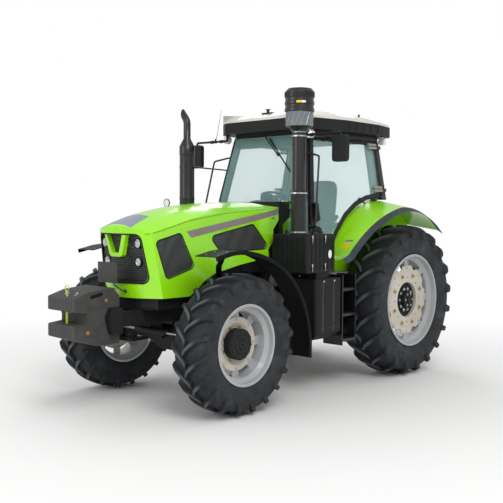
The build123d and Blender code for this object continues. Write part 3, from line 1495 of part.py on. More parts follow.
# Top link, clipped upright to the lift housing: a turnbuckle tube between two eyes
with BuildPart() as top_link:
    for z, bore in ((top_pin_z, top_pin_radius + knuckle_gap), (top_pin_z + top_link_length, top_eye_bore)):
        with BuildSketch(side_plane(top_link_half)):
            with Locations((rear_axle_x + top_pin_dx, z)):
                Circle(30)
                Circle(bore, mode=Mode.SUBTRACT)
        extrude(amount=2 * top_link_half)
    for radius, low, high in ((14, 27, top_link_length - 27), (top_tube_radius, 75, top_link_length - 150)):
        with BuildSketch(Plane.XY.offset(top_pin_z + low)):
            with Locations((rear_axle_x + top_pin_dx, 0)):
                Circle(radius)
        extrude(amount=high - low)
save("top_link", top_link)

with BuildPart() as drawbar:
    with BuildSketch(Plane.XY.offset(drawbar_z)):
        with Locations((rear_axle_x - 500, 0)):
            Rectangle(900, 90)
        with Locations((rear_axle_x - 900, 0)):
            Circle(16, mode=Mode.SUBTRACT)
    extrude(amount=40 - seat_gap)
save("drawbar", drawbar)
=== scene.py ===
# Farm tractor: finishes, tyres, glazing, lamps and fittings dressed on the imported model.
# Metres; +X forward, +Y to the driver's left, +Z up.
import json
import math

import bmesh
import bpy
import numpy as np
from mathutils import Matrix, Vector
from mathutils.bvhtree import BVHTree


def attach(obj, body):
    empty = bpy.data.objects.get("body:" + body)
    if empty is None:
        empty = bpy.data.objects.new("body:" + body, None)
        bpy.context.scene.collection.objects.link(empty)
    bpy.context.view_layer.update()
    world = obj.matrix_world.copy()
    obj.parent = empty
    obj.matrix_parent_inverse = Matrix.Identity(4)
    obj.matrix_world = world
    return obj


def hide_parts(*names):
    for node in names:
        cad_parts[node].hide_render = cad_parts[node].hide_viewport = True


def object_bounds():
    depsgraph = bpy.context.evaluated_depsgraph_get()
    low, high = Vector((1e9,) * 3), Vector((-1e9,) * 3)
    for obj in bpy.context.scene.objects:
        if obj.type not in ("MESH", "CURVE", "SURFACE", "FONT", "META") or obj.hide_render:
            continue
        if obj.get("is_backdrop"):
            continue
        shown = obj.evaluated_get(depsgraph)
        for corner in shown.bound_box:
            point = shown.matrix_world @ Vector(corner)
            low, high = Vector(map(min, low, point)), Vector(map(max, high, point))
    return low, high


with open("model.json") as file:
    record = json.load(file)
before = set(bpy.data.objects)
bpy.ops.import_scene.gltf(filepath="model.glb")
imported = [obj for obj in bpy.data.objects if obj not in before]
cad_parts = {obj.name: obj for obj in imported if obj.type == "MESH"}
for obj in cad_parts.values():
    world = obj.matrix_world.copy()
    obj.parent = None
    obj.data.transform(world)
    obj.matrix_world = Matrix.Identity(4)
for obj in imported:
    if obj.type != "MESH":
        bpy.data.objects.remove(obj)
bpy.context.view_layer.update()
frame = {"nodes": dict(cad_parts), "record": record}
nodes = frame["nodes"]
body_of = {n: b for b, names in frame["record"]["behaviour"]["bodies"].items() for n in names}
slot_of = {s["node"]: s["material_slot"] for s in frame["record"]["subparts"]}
TAU = math.tau
SIDES = ((1, "left"), (-1, "right"))
FROM_LEFT, FROM_FRONT, FROM_ABOVE = (0, -1, 0), (-1, 0, 0), (0, 0, -1)  # rays on to the tractor
AFAR = 4.0                          # how far out such rays start


# ------------------------------------------------------------------ nodes and colours
def span(node):
    """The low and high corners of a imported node's box."""
    points = np.array([vertex.co for vertex in nodes[node].data.vertices])
    return points.min(0), points.max(0)


def middle(node):
    """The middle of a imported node's box, to the millimetre."""
    return np.mean(span(node), axis=0).round(3)


REAR_AXLE_X = middle("rear_rim_left")[0]


def colour(text):
    """sRGB hex, such as "8fd914", as opaque linear RGBA."""
    values = [int(text[i:i + 2], 16) / 255 for i in (0, 2, 4)]
    return [v / 12.92 if v <= 0.04045 else ((v + 0.055) / 1.055) ** 2.4 for v in values] + [1.0]


def put(tree, kind, settings=None, **inputs):
    """Add a shader node. settings are its properties; inputs are values or links.

    An input is named for its socket, with _ for a blank, or numbered, as _0.
    """
    node = tree.nodes.new(kind)
    for key, value in (settings or {}).items():
        setattr(node, key, value)
    for key, value in inputs.items():
        index = int(key[1:]) if key[0] == "_" else key.replace("_", " ")
        socket = node.inputs[index]
        if isinstance(value, bpy.types.NodeSocket):
            tree.links.new(value, socket)
        else:
            socket.default_value = value
    return node


def finish_of(name, base, **sockets):
    """A new material with its Principled shader's own sockets set. Returns material, tree, shader."""
    material = bpy.data.materials.new(name)
    material.use_nodes = True
    tree = material.node_tree
    shader = tree.nodes["Principled BSDF"]
    shader.inputs["Base Color"].default_value = colour(base)
    for key, value in sockets.items():
        shader.inputs[key.replace("_", " ")].default_value = value
    return material, tree, shader


def object_coordinates(tree):
    """A point's place in its own mesh, in metres, which is its place on the tractor."""
    return put(tree, "ShaderNodeTexCoord").outputs["Object"]


def noise(tree, where, size, detail=3.0, roughness=0.55):
    """Noise whose largest blotches are about size metres across."""
    return put(tree, "ShaderNodeTexNoise", Vector=where, Scale=1 / size, Detail=detail,
               Roughness=roughness).outputs["Fac"]


def ramp(tree, fac, stops):
    """A colour ramp. stops are (position, hex)."""
    node = put(tree, "ShaderNodeValToRGB", Fac=fac)
    elements = node.color_ramp.elements
    while len(elements) < len(stops):
        elements.new(0.5)
    for element, (position, text) in zip(elements, stops):
        element.position = position
        element.color = colour(text)
    return node.outputs["Color"]


def band(tree, fac, low, high, to_low=0.0, to_high=1.0):
    """What fac does from low to high, spread over to_low to to_high and clamped there."""
    return put(tree, "ShaderNodeMapRange", _0=fac, _1=low, _2=high, _3=to_low, _4=to_high).outputs["Result"]


def bump(tree, shader, height, depth):
    """Bump of this depth in metres from a 0 to 1 height."""
    node = put(tree, "ShaderNodeBump", Strength=1.0, Distance=depth, Height=height)
    tree.links.new(node.outputs["Normal"], shader.inputs["Normal"])


# ------------------------------------------------------------------ materials
def enamel(name, light, dark, rough=0.28, coat=0.6, specular=0.5):
    """Sprayed two-pack enamel: wide drift in tone, and an orange-peel ripple about 6 mm across."""
    material, tree, shader = finish_of(name, light, Roughness=rough, Coat_Weight=coat, Coat_Roughness=0.08,
                                       Specular_IOR_Level=specular)
    where = object_coordinates(tree)
    tone = ramp(tree, noise(tree, where, 0.9, 2.0), [(0.35, dark), (0.65, light)])
    tree.links.new(tone, shader.inputs["Base Color"])
    tree.links.new(band(tree, noise(tree, where, 0.25), 0.3, 0.7, rough - 0.05, rough + 0.07),
                   shader.inputs["Roughness"])
    bump(tree, shader, noise(tree, where, 0.006, 2.0), 0.00012)
    return material


def moulded(name, light, dark, grain=0.0016, depth=0.00018, rough=0.55):
    """Moulded plastic with a leather-like spark-eroded grain, drawn coarse enough to show."""
    material, tree, shader = finish_of(name, light, Roughness=rough, Specular_IOR_Level=0.32)
    where = object_coordinates(tree)
    tone = ramp(tree, noise(tree, where, 0.35, 4.0), [(0.3, dark), (0.7, light)])
    tree.links.new(tone, shader.inputs["Base Color"])
    cells = put(tree, "ShaderNodeTexVoronoi", Vector=where, Scale=1 / (grain * 3)).outputs["Distance"]
    bump(tree, shader, cells, depth)
    return material


def cast_iron(name, light, dark):
    """Sand-cast iron under one coat of satin paint: pitted skin about 3 mm across and dull patches."""
    material, tree, shader = finish_of(name, light, Roughness=0.6, Specular_IOR_Level=0.35)
    where = object_coordinates(tree)
    blotch = noise(tree, where, 0.12, 5.0)
    tree.links.new(ramp(tree, blotch, [(0.3, dark), (0.7, light)]), shader.inputs["Base Color"])
    tree.links.new(band(tree, blotch, 0.3, 0.7, 0.5, 0.72), shader.inputs["Roughness"])
    bump(tree, shader, noise(tree, where, 0.004, 4.0), 0.0006)
    return material


def rubber(name, light, dark, dust, axle=None):
    """Cured rubber: near-black with a dusty bloom in patches and fine mould grain.

    With axle, as (x, z, radius, bar depth), painted shade darkens the tread from the grooves outwards and a
    painted grey highlight lightens the bars' tops.
    """
    material, tree, shader = finish_of(name, light, Roughness=0.68, Specular_IOR_Level=0.35)
    where = object_coordinates(tree)
    tone = ramp(tree, noise(tree, where, 0.22, 6.0, 0.65), [(0.32, dark), (0.55, light), (0.75, dust)])
    if axle:
        x, z, radius, depth = axle
        flat = put(tree, "ShaderNodeVectorMath", dict(operation="MULTIPLY"), _0=where, _1=(1.0, 0.0, 1.0))
        arm = put(tree, "ShaderNodeVectorMath", dict(operation="DISTANCE"), _0=flat.outputs["Vector"],
                  _1=(x, 0.0, z)).outputs["Value"]
        # painted light on the tread: a grey highlight on the bars' tops, and shade darkening the tread from
        # the grooves outwards
        bar_top_painted_highlight = band(tree, arm, radius - 0.35 * depth, radius - 0.08 * depth, 0.0, 0.75)
        groove = band(tree, arm, radius - 1.9 * depth, radius - 1.1 * depth, 0.0, 0.6)
        for share, text in ((groove, "17181a"), (bar_top_painted_highlight, "565d64")):
            mixed = put(tree, "ShaderNodeMix", dict(data_type="RGBA"), _0=share, _6=tone, _7=colour(text))
            tone = mixed.outputs[2]
    tree.links.new(tone, shader.inputs["Base Color"])
    tree.links.new(band(tree, noise(tree, where, 0.07), 0.3, 0.7, 0.55, 0.8), shader.inputs["Roughness"])
    bump(tree, shader, noise(tree, where, 0.003, 3.0), 0.0004)
    return material


def metal(name, base, rough=0.3, brushed=0.0):
    """Bare or plated metal. brushed gives fine lines along the turning marks, 1.5 mm apart."""
    material, tree, shader = finish_of(name, base, Metallic=1.0, Roughness=rough)
    where = object_coordinates(tree)
    tree.links.new(band(tree, noise(tree, where, 0.03), 0.3, 0.7, rough - 0.06, rough + 0.1),
                   shader.inputs["Roughness"])
    if brushed:
        lines = put(tree, "ShaderNodeTexWave", dict(bands_direction="Z"), Vector=where, Scale=210.0,
                    Distortion=2.0)
        bump(tree, shader, lines.outputs["Fac"], brushed)
    return material


def glass(name, tint, alpha):
    """Toughened glass or clear plastic with its body tint, seen through by alpha, faintly smeared."""
    material, tree, shader = finish_of(name, tint, Roughness=0.02, Alpha=alpha, IOR=1.52,
                                       Specular_IOR_Level=0.8)
    smear = noise(tree, object_coordinates(tree), 0.3, 2.0)
    tree.links.new(band(tree, smear, 0.3, 0.8, 0.01, 0.05), shader.inputs["Roughness"])
    return material


def perforated(name, base, pitch):
    """Perforated steel screen painted black: round holes at this pitch, shown as a dip and as near-black
    painted shade where the inside is seen through them.
    """
    material, tree, shader = finish_of(name, base, Roughness=0.5)
    where = object_coordinates(tree)
    cells = put(tree, "ShaderNodeTexVoronoi", Vector=where, Scale=1 / pitch, Randomness=0.0)
    shaded_holes = band(tree, cells.outputs["Distance"], 0.28, 0.4)
    # the holes' near-black 0c0d0e is painted shade of the dark space behind the screen
    tree.links.new(ramp(tree, shaded_holes, [(0.0, "0c0d0e"), (1.0, base)]), shader.inputs["Base Color"])
    bump(tree, shader, shaded_holes, 0.0012)
    return material


def cloth(name, light, dark):
    """Woven seat cloth: 2.5 mm plain weave with a soft sheen."""
    material, tree, shader = finish_of(name, light, Roughness=0.9, Sheen_Weight=0.3)
    where = object_coordinates(tree)
    weft = put(tree, "ShaderNodeTexWave", dict(bands_direction="Y"), Vector=where, Scale=125.0)
    warp = put(tree, "ShaderNodeTexWave", dict(bands_direction="X"), Vector=where, Scale=125.0)
    weave = put(tree, "ShaderNodeMath", dict(operation="MULTIPLY"), _0=weft.outputs["Fac"],
                _1=warp.outputs["Fac"]).outputs["Value"]
    tree.links.new(ramp(tree, weave, [(0.1, dark), (0.8, light)]), shader.inputs["Base Color"])
    bump(tree, shader, weave, 0.0007)
    return material


# enamels: wet, even gloss on sheet steel, softer on wheels and frame
green = enamel("gloss green enamel on pressed steel", "a2f014", "93e40f")
rim_grey = enamel("silver-grey wheel enamel", "b4b6b8", "a3a5a8", 0.36, 0.3)
disc_cream = enamel("off-white wheel enamel", "cfc9bd", "bdb6a8", 0.42, 0.2)
roof_white = enamel("off-white gel coat on glass fibre", "d9d6cf", "cfccc4", 0.34, 0.3)
black_enamel = enamel("satin black enamel on steel", "131416", "0f1011", 0.34, 0.25)
# plastic mouldings: dull grain on large ones, smooth shine on lamps and handles
black_plastic = moulded("grained black ABS", "17181b", "111214")
gloss_black = moulded("smooth black polycarbonate", "141618", "101214", 0.004, 0.00002, 0.16)
# castings: rough skin that catches light in patches
charcoal_iron = cast_iron("charcoal-painted cast iron", "4b4a49", "3b3a3a")
dark_iron = cast_iron("black-painted cast iron", "1c1d1f", "141516")
fender_black = enamel("black enamel on the fenders", "0c0d0e", "090a0b", 0.42, 0.0, 0.12)
hinge_grey = enamel("grey enamel on cast hinges", "9c9c98", "8e8e8a", 0.4, 0.2)
# rubber trim: dull, greyed by dust
trim_rubber = rubber("extruded rubber trim", "3a414c", "31363f", "434a55")
seal_rubber = rubber("door seal rubber", "1b1c1e", "151617", "232425")
# glazing: mostly seen through, with a cool tint in the cab; the cab glass's pale colour is partly its tint
# and partly a painted reflection of the white studio
cab_glass_tint_and_reflection = glass("tinted safety glass", "c4f3f5", 0.17)
bowl_clear = glass("clear polycarbonate bowl", "dfe8ee", 0.22)
lens = glass("clear polycarbonate lens", "eef3f6", 0.35)
# bare and plated metal: fasteners glint against the black
zinc = metal("zinc-plated steel", "b9bcc0", 0.32)
reflector = metal("vacuum-metallised reflector", "eef0f2", 0.12)
brass = metal("yellow-passivated steel", "b79c62", 0.36)
stainless = metal("stainless clamp band", "c9ccd0", 0.25, 0.00005)
mirror_glass = metal("silvered mirror glass", "dfe4e8", 0.03)
screen_mesh = perforated("perforated steel screen, black", "3a3d3c", 0.009)
seat_cloth = cloth("woven seat cloth", "3a3c40", "202225")
# small parts: lamp faces, painted shade for open recesses, glass borders and blank films
bulb_white = moulded("opal lamp glass", "eef0f0", "e2e5e6", 0.01, 0.00001, 0.12)
recess_painted_shade = moulded("painted shade in an open recess", "0d0e0f", "0a0a0b", 0.004, 0.0, 0.9)
frit_black = moulded("ceramic frit on glass", "17191b", "121416", 0.002, 0.00001, 0.25)
visor_green = moulded("tinted visor film", "1e4a3c", "183e33", 0.002, 0.00002, 0.3)
stripe_grey = moulded("satin grey film", "8b8087", "857b76", 0.002, 0.00001, 0.35)
inset_grey = moulded("blue-grey insert", "8b93a6", "7f889b", 0.002, 0.00002, 0.3)
label_blue = moulded("blue film", "4a5fae", "4458a4", 0.002, 0.00001, 0.35)
label_yellow = moulded("yellow film", "f2d21a", "ecc914", 0.002, 0.00001, 0.35)
label_white = moulded("white film", "efefec", "e6e6e2", 0.002, 0.00001, 0.35)
pin_yellow = enamel("yellow-green enamel on steel", "c8d63a", "b6c62c", 0.4, 0.2)
# painted shade for the hood's crease: a darker, duller green
crease_painted_shade = enamel("painted shade, green, along the hood crease", "5f9a10", "578f0d", 0.5, 0.0)
cab_liner = moulded("grey moulded cab liner", "6f7a78", "5f6967", 0.002, 0.0001, 0.6)


# ------------------------------------------------------------------ meshes
def quads(rows, columns, close_rows=False, close_columns=False):
    """Faces of a grid of rows x columns vertices, numbered row by row."""
    r = np.arange(rows if close_rows else rows - 1)[:, None]
    c = np.arange(columns if close_columns else columns - 1)[None, :]
    r2, c2 = (r + 1) % rows, (c + 1) % columns
    return np.stack(np.broadcast_arrays(r * columns + c, r * columns + c2, r2 * columns + c2,
                                        r2 * columns + c), -1).reshape(-1, 4).tolist()


def joined(parts):
    """One (vertices, faces) from several."""
    points, faces, offset = [], [], 0
    for vertices, polygons in parts:
        points.append(np.asarray(vertices, float).reshape(-1, 3))
        faces += [[int(i) + offset for i in polygon] for polygon in polygons]
        offset += len(points[-1])
    return np.concatenate(points), faces


def cleaned(mesh, distance, step):
    """Merge a mesh's doubled points, then run one more bmesh step on it."""
    work = bmesh.new()
    work.from_mesh(mesh)
    bmesh.ops.remove_doubles(work, verts=work.verts, dist=distance)
    step(work)
    work.to_mesh(mesh)
    work.free()


def face_outwards(work):
    """Turn every face of a closed shell outwards."""
    bmesh.ops.recalc_face_normals(work, faces=work.faces)


def make_flats_whole(work):
    """Join triangles that lie within a degree of one plane."""
    bmesh.ops.dissolve_limit(work, angle_limit=math.radians(1), verts=work.verts, edges=work.edges)


def piece(name, shape, material, body, smooth=35, **finish):
    """An object at the origin with its place in its mesh, facing outwards and riding on a body."""
    points, faces = shape
    mesh = bpy.data.meshes.new(name)
    mesh.from_pydata(np.asarray(points, float).tolist(), [], faces)
    cleaned(mesh, 1e-5, face_outwards)
    return finished(name, mesh, material, body, smooth, **finish)


def finished(name, mesh, material, body, smooth, bevel=0.0, segments=2, replaces=(), slot=None):
    """A mesh shaded smooth up to this many degrees, its edges eased, set on its body, and the nodes it
    replaces hidden.
    """
    mesh.materials.clear()
    mesh.materials.append(material)
    mesh.shade_smooth()
    mesh.set_sharp_from_angle(angle=math.radians(smooth))
    thing = bpy.data.objects.new(name, mesh)
    bpy.context.scene.collection.objects.link(thing)
    if bevel:
        modifier = thing.modifiers.new("edge", "BEVEL")
        modifier.width = bevel
        modifier.segments = segments
        modifier.limit_method = "ANGLE"
        modifier.angle_limit = math.radians(32)
        modifier.harden_normals = True
    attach(thing, body)
    if replaces:
        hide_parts(*replaces)
    return thing


def dress(node, material, bevel=0.0):
    """A copy of a CAD node's mesh, merged, with its flat faces made whole and its edges eased."""
    mesh = nodes[node].data.copy()
    cleaned(mesh, 2e-5, make_flats_whole)
    finished(node + "_finish", mesh, material, body_of[node], 30, bevel, replaces=(node,), slot=slot_of[node])


def lathe(profile, centre, steps=96, axis="Y", loop=False):
    """Surface of revolution. profile is (distance along the axis, radius), and loop joins its ends."""
    profile = np.asarray(profile, float)
    angle = TAU * np.arange(steps)[:, None] / steps
    along = np.broadcast_to(profile[:, 0], (steps, len(profile)))
    a, b = np.cos(angle) * profile[:, 1], np.sin(angle) * profile[:, 1]
    order = {"X": (along, a, b), "Y": (b, along, a), "Z": (a, b, along)}[axis]
    points = np.stack(order, -1) + np.asarray(centre, float)
    return points.reshape(-1, 3), quads(steps, len(profile), True, loop)


def tube(path, radius, sides=12, closed=False):
    """Round tube along a line of points, its section carried without twist, with capped ends."""
    path = np.asarray(path, float)
    path = path[np.diff(lengths(path), prepend=-1) > 1e-5]      # a repeated point has no direction
    if not np.isscalar(radius):
        radius = np.interp(np.linspace(0, 1, len(path)), np.linspace(0, 1, len(radius)), radius)
    ahead = np.roll(path, -1, 0) - np.roll(path, 1, 0) if closed else np.gradient(path, axis=0)
    tangent = ahead / np.linalg.norm(ahead, axis=1, keepdims=True)
    side = np.cross(tangent[0], (0.0, 0.0, 1.0))
    if np.linalg.norm(side) < 1e-3:
        side = np.cross(tangent[0], (0.0, 1.0, 0.0))
    carried = []
    for t in tangent:
        side = side - t * (side @ t)
        side = side / np.linalg.norm(side)
        carried.append(side)
    side = np.array(carried)[:, None]
    other = np.cross(tangent[:, None], side)
    angle = TAU * np.arange(sides)[:, None] / sides
    reach = np.broadcast_to(radius, (len(path),))[:, None, None]
    points = path[:, None] + reach * (np.cos(angle) * side + np.sin(angle) * other)
    faces = quads(len(path), sides, close_rows=closed, close_columns=True)
    if not closed:
        faces += [list(range(sides))[::-1], [(len(path) - 1) * sides + i for i in range(sides)]]
    return points.reshape(-1, 3), faces


def smooth_line(points, steps=8):
    """Catmull-Rom curve through points, each span cut into steps."""
    p = np.asarray(points, float)
    p = np.concatenate([[2 * p[0] - p[1]], p, [2 * p[-1] - p[-2]]])
    t = np.linspace(0, 1, steps, endpoint=False)[None, :, None]
    a, b, c, d = (p[i:len(p) - 3 + i][:, None] for i in range(4))
    curve = 0.5 * (2 * b + (c - a) * t + (2 * a - 5 * b + 4 * c - d) * t ** 2
                   + (3 * b - a - 3 * c + d) * t ** 3)
    return np.concatenate([curve.reshape(-1, p.shape[1]), p[-2:-1]])


def lengths(line):
    """How far along a line of points each one lies."""
    return np.concatenate([[0], np.cumsum(np.linalg.norm(np.diff(line, axis=0), axis=1))])


def point_at(at, length, line):
    """The points that lie at these lengths along a line."""
    return np.stack([np.interp(at, length, column) for column in line.T], -1)


def oval(centre, across, up, steps):
    """Points round an ellipse whose half axes are the vectors across and up."""
    angle = TAU * np.arange(steps)[:, None] / steps
    return np.asarray(centre, float) + np.cos(angle) * across + np.sin(angle) * up


def moved(shape, by):
    """A shape set elsewhere."""
    return np.asarray(shape[0], float) + by, shape[1]


def block(low, high):
    """A box between two corners."""
    points = np.stack(np.meshgrid(*zip(low, high), indexing="ij"), -1).reshape(-1, 3)
    return points, [(0, 1, 3, 2), (4, 6, 7, 5), (0, 4, 5, 1), (2, 3, 7, 6), (0, 2, 6, 4), (1, 5, 7, 3)]


def plate(outline, offset):
    """A closed plate: a ring of points, the same ring moved by offset, and the edge between them."""
    outline = np.asarray(outline, float)
    count = len(outline)
    ends = [list(range(count))[::-1], list(range(count, 2 * count))]
    return np.concatenate([outline, outline + offset]), ends + quads(2, count, close_columns=True)


def sheet_of(top, back):
    """A closed thin sheet between two grids of points (rows, columns, 3)."""
    rows, columns = top.shape[:2]
    number = np.arange(rows * columns).reshape(rows, columns)
    rim = np.concatenate([number[0], number[1:, -1], number[-1, -2::-1], number[-2:0:-1, 0]]).tolist()
    face = quads(rows, columns)
    faces = face + [[i + number.size for i in f][::-1] for f in face]
    faces += [[a, b, b + number.size, a + number.size] for a, b in zip(rim, rim[1:] + rim[:1])]
    return np.concatenate([top.reshape(-1, 3), back.reshape(-1, 3)]), faces


def turned(shape, centre, direction):
    """A shape made about +Z at the origin, set at a place and facing a direction."""
    turn = np.array(Vector(direction).to_track_quat("Z", "Y").to_matrix())
    return np.asarray(shape[0], float) @ turn.T + np.asarray(centre, float), shape[1]


def disc_of(centre, radius, normal, thick=0.001, steps=32):
    """A thin round film facing along normal."""
    ring = oval((0, 0, 0), (radius, 0, 0), (0, radius, 0), steps)
    return turned(plate(ring, (0, 0, thick)), centre, normal)


def bolt(place, direction, radius, height):
    """A hexagon head on a round washer: 12 points a ring, drawn in between the hexagon's corners."""
    reach, rise = np.array([(1.5, 0.0), (1.5, 0.25), (1.0, 0.25), (1.0, 1.0), (0.82, 1.15)]).T[..., None]
    angle = TAU * np.arange(12) / 12
    hexagon = math.cos(math.pi / 6) / np.cos(angle % (TAU / 6) - math.pi / 6)
    r = radius * reach * np.where(reach > 1.2, 1.0, hexagon)
    points = np.stack([r * np.cos(angle), r * np.sin(angle), np.broadcast_to(height * rise, r.shape)], -1)
    top = 12 * (len(reach) - 1)
    faces = quads(len(reach), 12, close_columns=True) + [list(range(top, top + 12))]
    return turned((points.reshape(-1, 3), faces), place, direction)


def stud(place, direction, radius, height):
    """A nut on a washer with the stud's end standing out of it."""
    ahead = np.array(Vector(direction).normalized())
    end = np.asarray(place, float) + ahead * height
    shank = tube([end, end + ahead * radius * 0.7], radius * 0.55, 10)
    return joined([bolt(place, direction, radius, height), shank])


def mirrored(shape, side=-1):
    """A shape as it is on side 1, or its mirror image across the tractor's middle."""
    points, faces = shape
    return shape if side > 0 else (np.asarray(points, float) * (1, -1, 1), [f[::-1] for f in faces])


def both_sides(shape):
    """A shape and its mirror image."""
    return joined([shape, mirrored(shape)])


# ------------------------------------------------------------------ wheels
wheels = {  # lead: how far a bar's shoulder trails its crown; depth and bar: the bar's height and width
    "front": dict(bars=20, lead=0.155, depth=0.038, bar=0.040),
    "rear": dict(bars=20, lead=0.195, depth=0.046, bar=0.050),
}
for kind, w in wheels.items():
    low, high = span(f"{kind}_rim_left")
    w["x"], w["y"], w["z"] = middle(f"{kind}_rim_left")     # the axle, and the tyre's middle
    w["radius"] = w["z"]                                    # the tyres stand on the floor
    w["flange"], w["rim"] = (high - low)[2] / 2, (high - low)[1]
    low, high = span(f"{kind}_tyre_left")
    w["half"] = (high - low)[1] / 2


def carcass(w):
    """Half section of the tyre's casing from the crown to the bead, as (out, radius)."""
    top, half, bead = w["radius"] - w["depth"], w["half"], w["flange"] - 0.010
    rise = top - bead
    return smooth_line([(0, top), (0.45 * half, top - 0.003), (0.78 * half, top - 0.016),
                        (0.92 * half, top - 0.10 * rise), (0.98 * half, top - 0.30 * rise),
                        (half, top - 0.52 * rise), (0.95 * half, top - 0.78 * rise),
                        (0.84 * half, bead + 0.010), (0.80 * half, bead - 0.003)], 5)


def tread_bars(w, side):
    """The bars of one side: a trapezoid carried out from the crown and down over the shoulder.

    A bar's middle runs over the casing's section at share s of its length, turned back about
    the axle by lead * s ** 0.85 over the radius, and stands off by depth along the section's normal.
    """
    line = carcass(w)
    length = lengths(line)
    stations = np.array([-0.07, -0.05, 0.10, 0.28, 0.46, 0.64, 0.80, 0.92, 1.02, 1.13, 1.24, 1.28])
    reach = w["half"] * 1.02
    s = stations.clip(0) * reach
    out, radius = point_at(s, length, line).T
    near = 0.004
    ahead = point_at(s + near, length, line) - point_at(s - near, length, line)
    ahead[0:2] = (1, 0)
    ahead /= np.linalg.norm(ahead, axis=1, keepdims=True)
    normal = np.stack([-ahead[:, 1], ahead[:, 0]], -1)
    out = out + np.where(stations < 0, stations * reach, 0)
    rise = w["depth"] * np.array([0.55, 1, 1, 1, 1, 0.99, 0.97, 0.95, 0.88, 0.70, 0.48, 0.05])
    top_half = w["bar"] / 2 * np.array([0.8, 0.9, 0.95, 1, 1, 1.05, 1.12, 1.2, 1.3, 1.35, 1.3, 1.2])
    foot_half = top_half + 0.006 + 0.004 * stations.clip(0, 1)
    back = w["lead"] * stations.clip(0, 1.05) ** 0.85 - 0.02 * (stations < 0)
    section = []  # along the normal, and round the axle
    ease = 0.004
    for share, width in ((-0.08, foot_half), (1 - ease / w["depth"], top_half), (1, top_half - ease),
                         (1, ease - top_half), (1 - ease / w["depth"], -top_half), (-0.08, -foot_half)):
        lift = share * rise if share > 0 else np.full_like(rise, -0.004)
        r = radius + lift * normal[:, 1]
        section.append(np.stack([out + lift * normal[:, 0], r, -(back + width) / w["radius"]], -1))
    bar = np.stack(section, 1)
    count = w["bars"]
    turn = TAU * (np.arange(count) + (0.5 if side < 0 else 0.0)) / count
    theta = turn[:, None, None] + bar[None, ..., 2]
    y = np.broadcast_to(side * bar[..., 0], theta.shape)
    r = bar[None, ..., 1]
    points = np.stack([r * np.sin(theta), y, r * np.cos(theta)], -1)
    rows, columns = bar.shape[:2]
    face = quads(rows, columns, close_columns=True)
    face += [list(range(columns)), [(rows - 1) * columns + i for i in range(columns)][::-1]]
    faces = [[i + k * rows * columns for i in f] for k in range(count) for f in face]
    return points.reshape(-1, 3), faces


def tyre(kind, name, side):
    """The casing turned about the axle, with raised rings on its walls, and both sides' bars."""
    w = wheels[kind]
    half = carcass(w)
    wall = w["radius"] - w["depth"] - w["flange"]
    for level, size in ((0.03, 0.004), (0.62 * wall, 0.0025), (0.30 * wall, 0.0025)):
        near = np.exp(-((half[:, 1] - w["flange"] - level) / 0.006) ** 2)
        half = half + np.stack([near * size, np.zeros(len(half))], -1)
    bead = (0.80 * w["half"] - 0.02, w["flange"] - 0.012)
    outside = np.concatenate([half, (half * (-1, 1))[::-1][:-1]])
    section = np.concatenate([outside[::-1], [(-bead[0], bead[1]), bead]])
    points, faces = joined([lathe(section, (0, 0, 0), 160, loop=True), tread_bars(w, 1), tread_bars(w, -1)])
    piece(name + "_tread", (points + (w["x"], side * w["y"], w["z"]), faces), w["rubber"], body_of[name], 32,
          replaces=(name,), slot="tyre")


for kind, w in wheels.items():
    w["rubber"] = rubber(f"{kind} tread rubber", "2b2d31", "1d1f22", "43474b",
                         (w["x"], w["z"], w["radius"], w["depth"]))
for side, word in SIDES:
    for kind in wheels:
        tyre(kind, f"{kind}_tyre_{word}", side)

# ------------------------------------------------------------------ CAD pieces with eased edges
finishes = [  # material, bevel, nodes
    (green, 0.003, ["hood", "rear_fender_left", "rear_fender_right"]),
    (rim_grey, 0.002, ["front_rim_left", "front_rim_right", "rear_rim_left", "rear_rim_right"]),
    (disc_cream, 0.002, ["front_disc_left", "front_disc_right", "rear_disc_left", "rear_disc_right"]),
    (roof_white, 0.006, ["cab_roof"]),
    (dark_iron, 0.003, ["front_axle", "knuckle_left", "knuckle_right", "engine_block", "front_frame",
                        "transmission", "weight_carrier"]),
    (charcoal_iron, 0.006, ["front_weights"]),
    (black_enamel, 0.002, ["cab_frame", "cab_floor", "steps", "grab_rails", "exhaust", "drawbar",
                           "lift_arms", "lower_links", "air_intake"]),
    (fender_black, 0.002, ["front_fender_left", "front_fender_right"]),
    (black_plastic, 0.003, ["roof_skirt", "cowl", "dashboard", "air_filter", "fuel_tank", "battery_box",
                            "mirrors", "steering_wheel", "radiator"]),
    (gloss_black, 0.002, ["door_fittings_left", "door_fittings_right"]),
    (screen_mesh, 0.001, ["hood_grilles"]),
    (trim_rubber, 0.001, ["fender_flares"]),
    (zinc, 0.001, ["tie_rod", "steering_rod", "lift_rods", "top_link"]),
    (cab_glass_tint_and_reflection, 0.0, ["cab_glass", "door_glass_left", "door_glass_right"]),
    (charcoal_iron, 0.002, ["front_plate"]),
    (bulb_white, 0.002, ["roof_lamps"]),
]
for material, bevel, names in finishes:
    for name in names:
        dress(name, material, bevel)

# ------------------------------------------------------------------ laying things on packed surfaces
surfaces = {}


def surface(node):
    """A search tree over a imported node's mesh."""
    if node not in surfaces:
        mesh = nodes[node].data
        surfaces[node] = BVHTree.FromPolygons([v.co for v in mesh.vertices],
                                              [list(p.vertices) for p in mesh.polygons])
    return surfaces[node]


def drop(node, places, direction, lift=0.0):
    """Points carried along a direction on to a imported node, and lifted off it along the ray."""
    along = Vector(direction).normalized()
    landed = []
    for place in places:
        hit = surface(node).ray_cast(Vector(place), along)[0]
        if hit is None:
            hit = surface(node).find_nearest(Vector(place) + along)[0]
        landed.append(hit - lift * along)
    return np.array(landed)


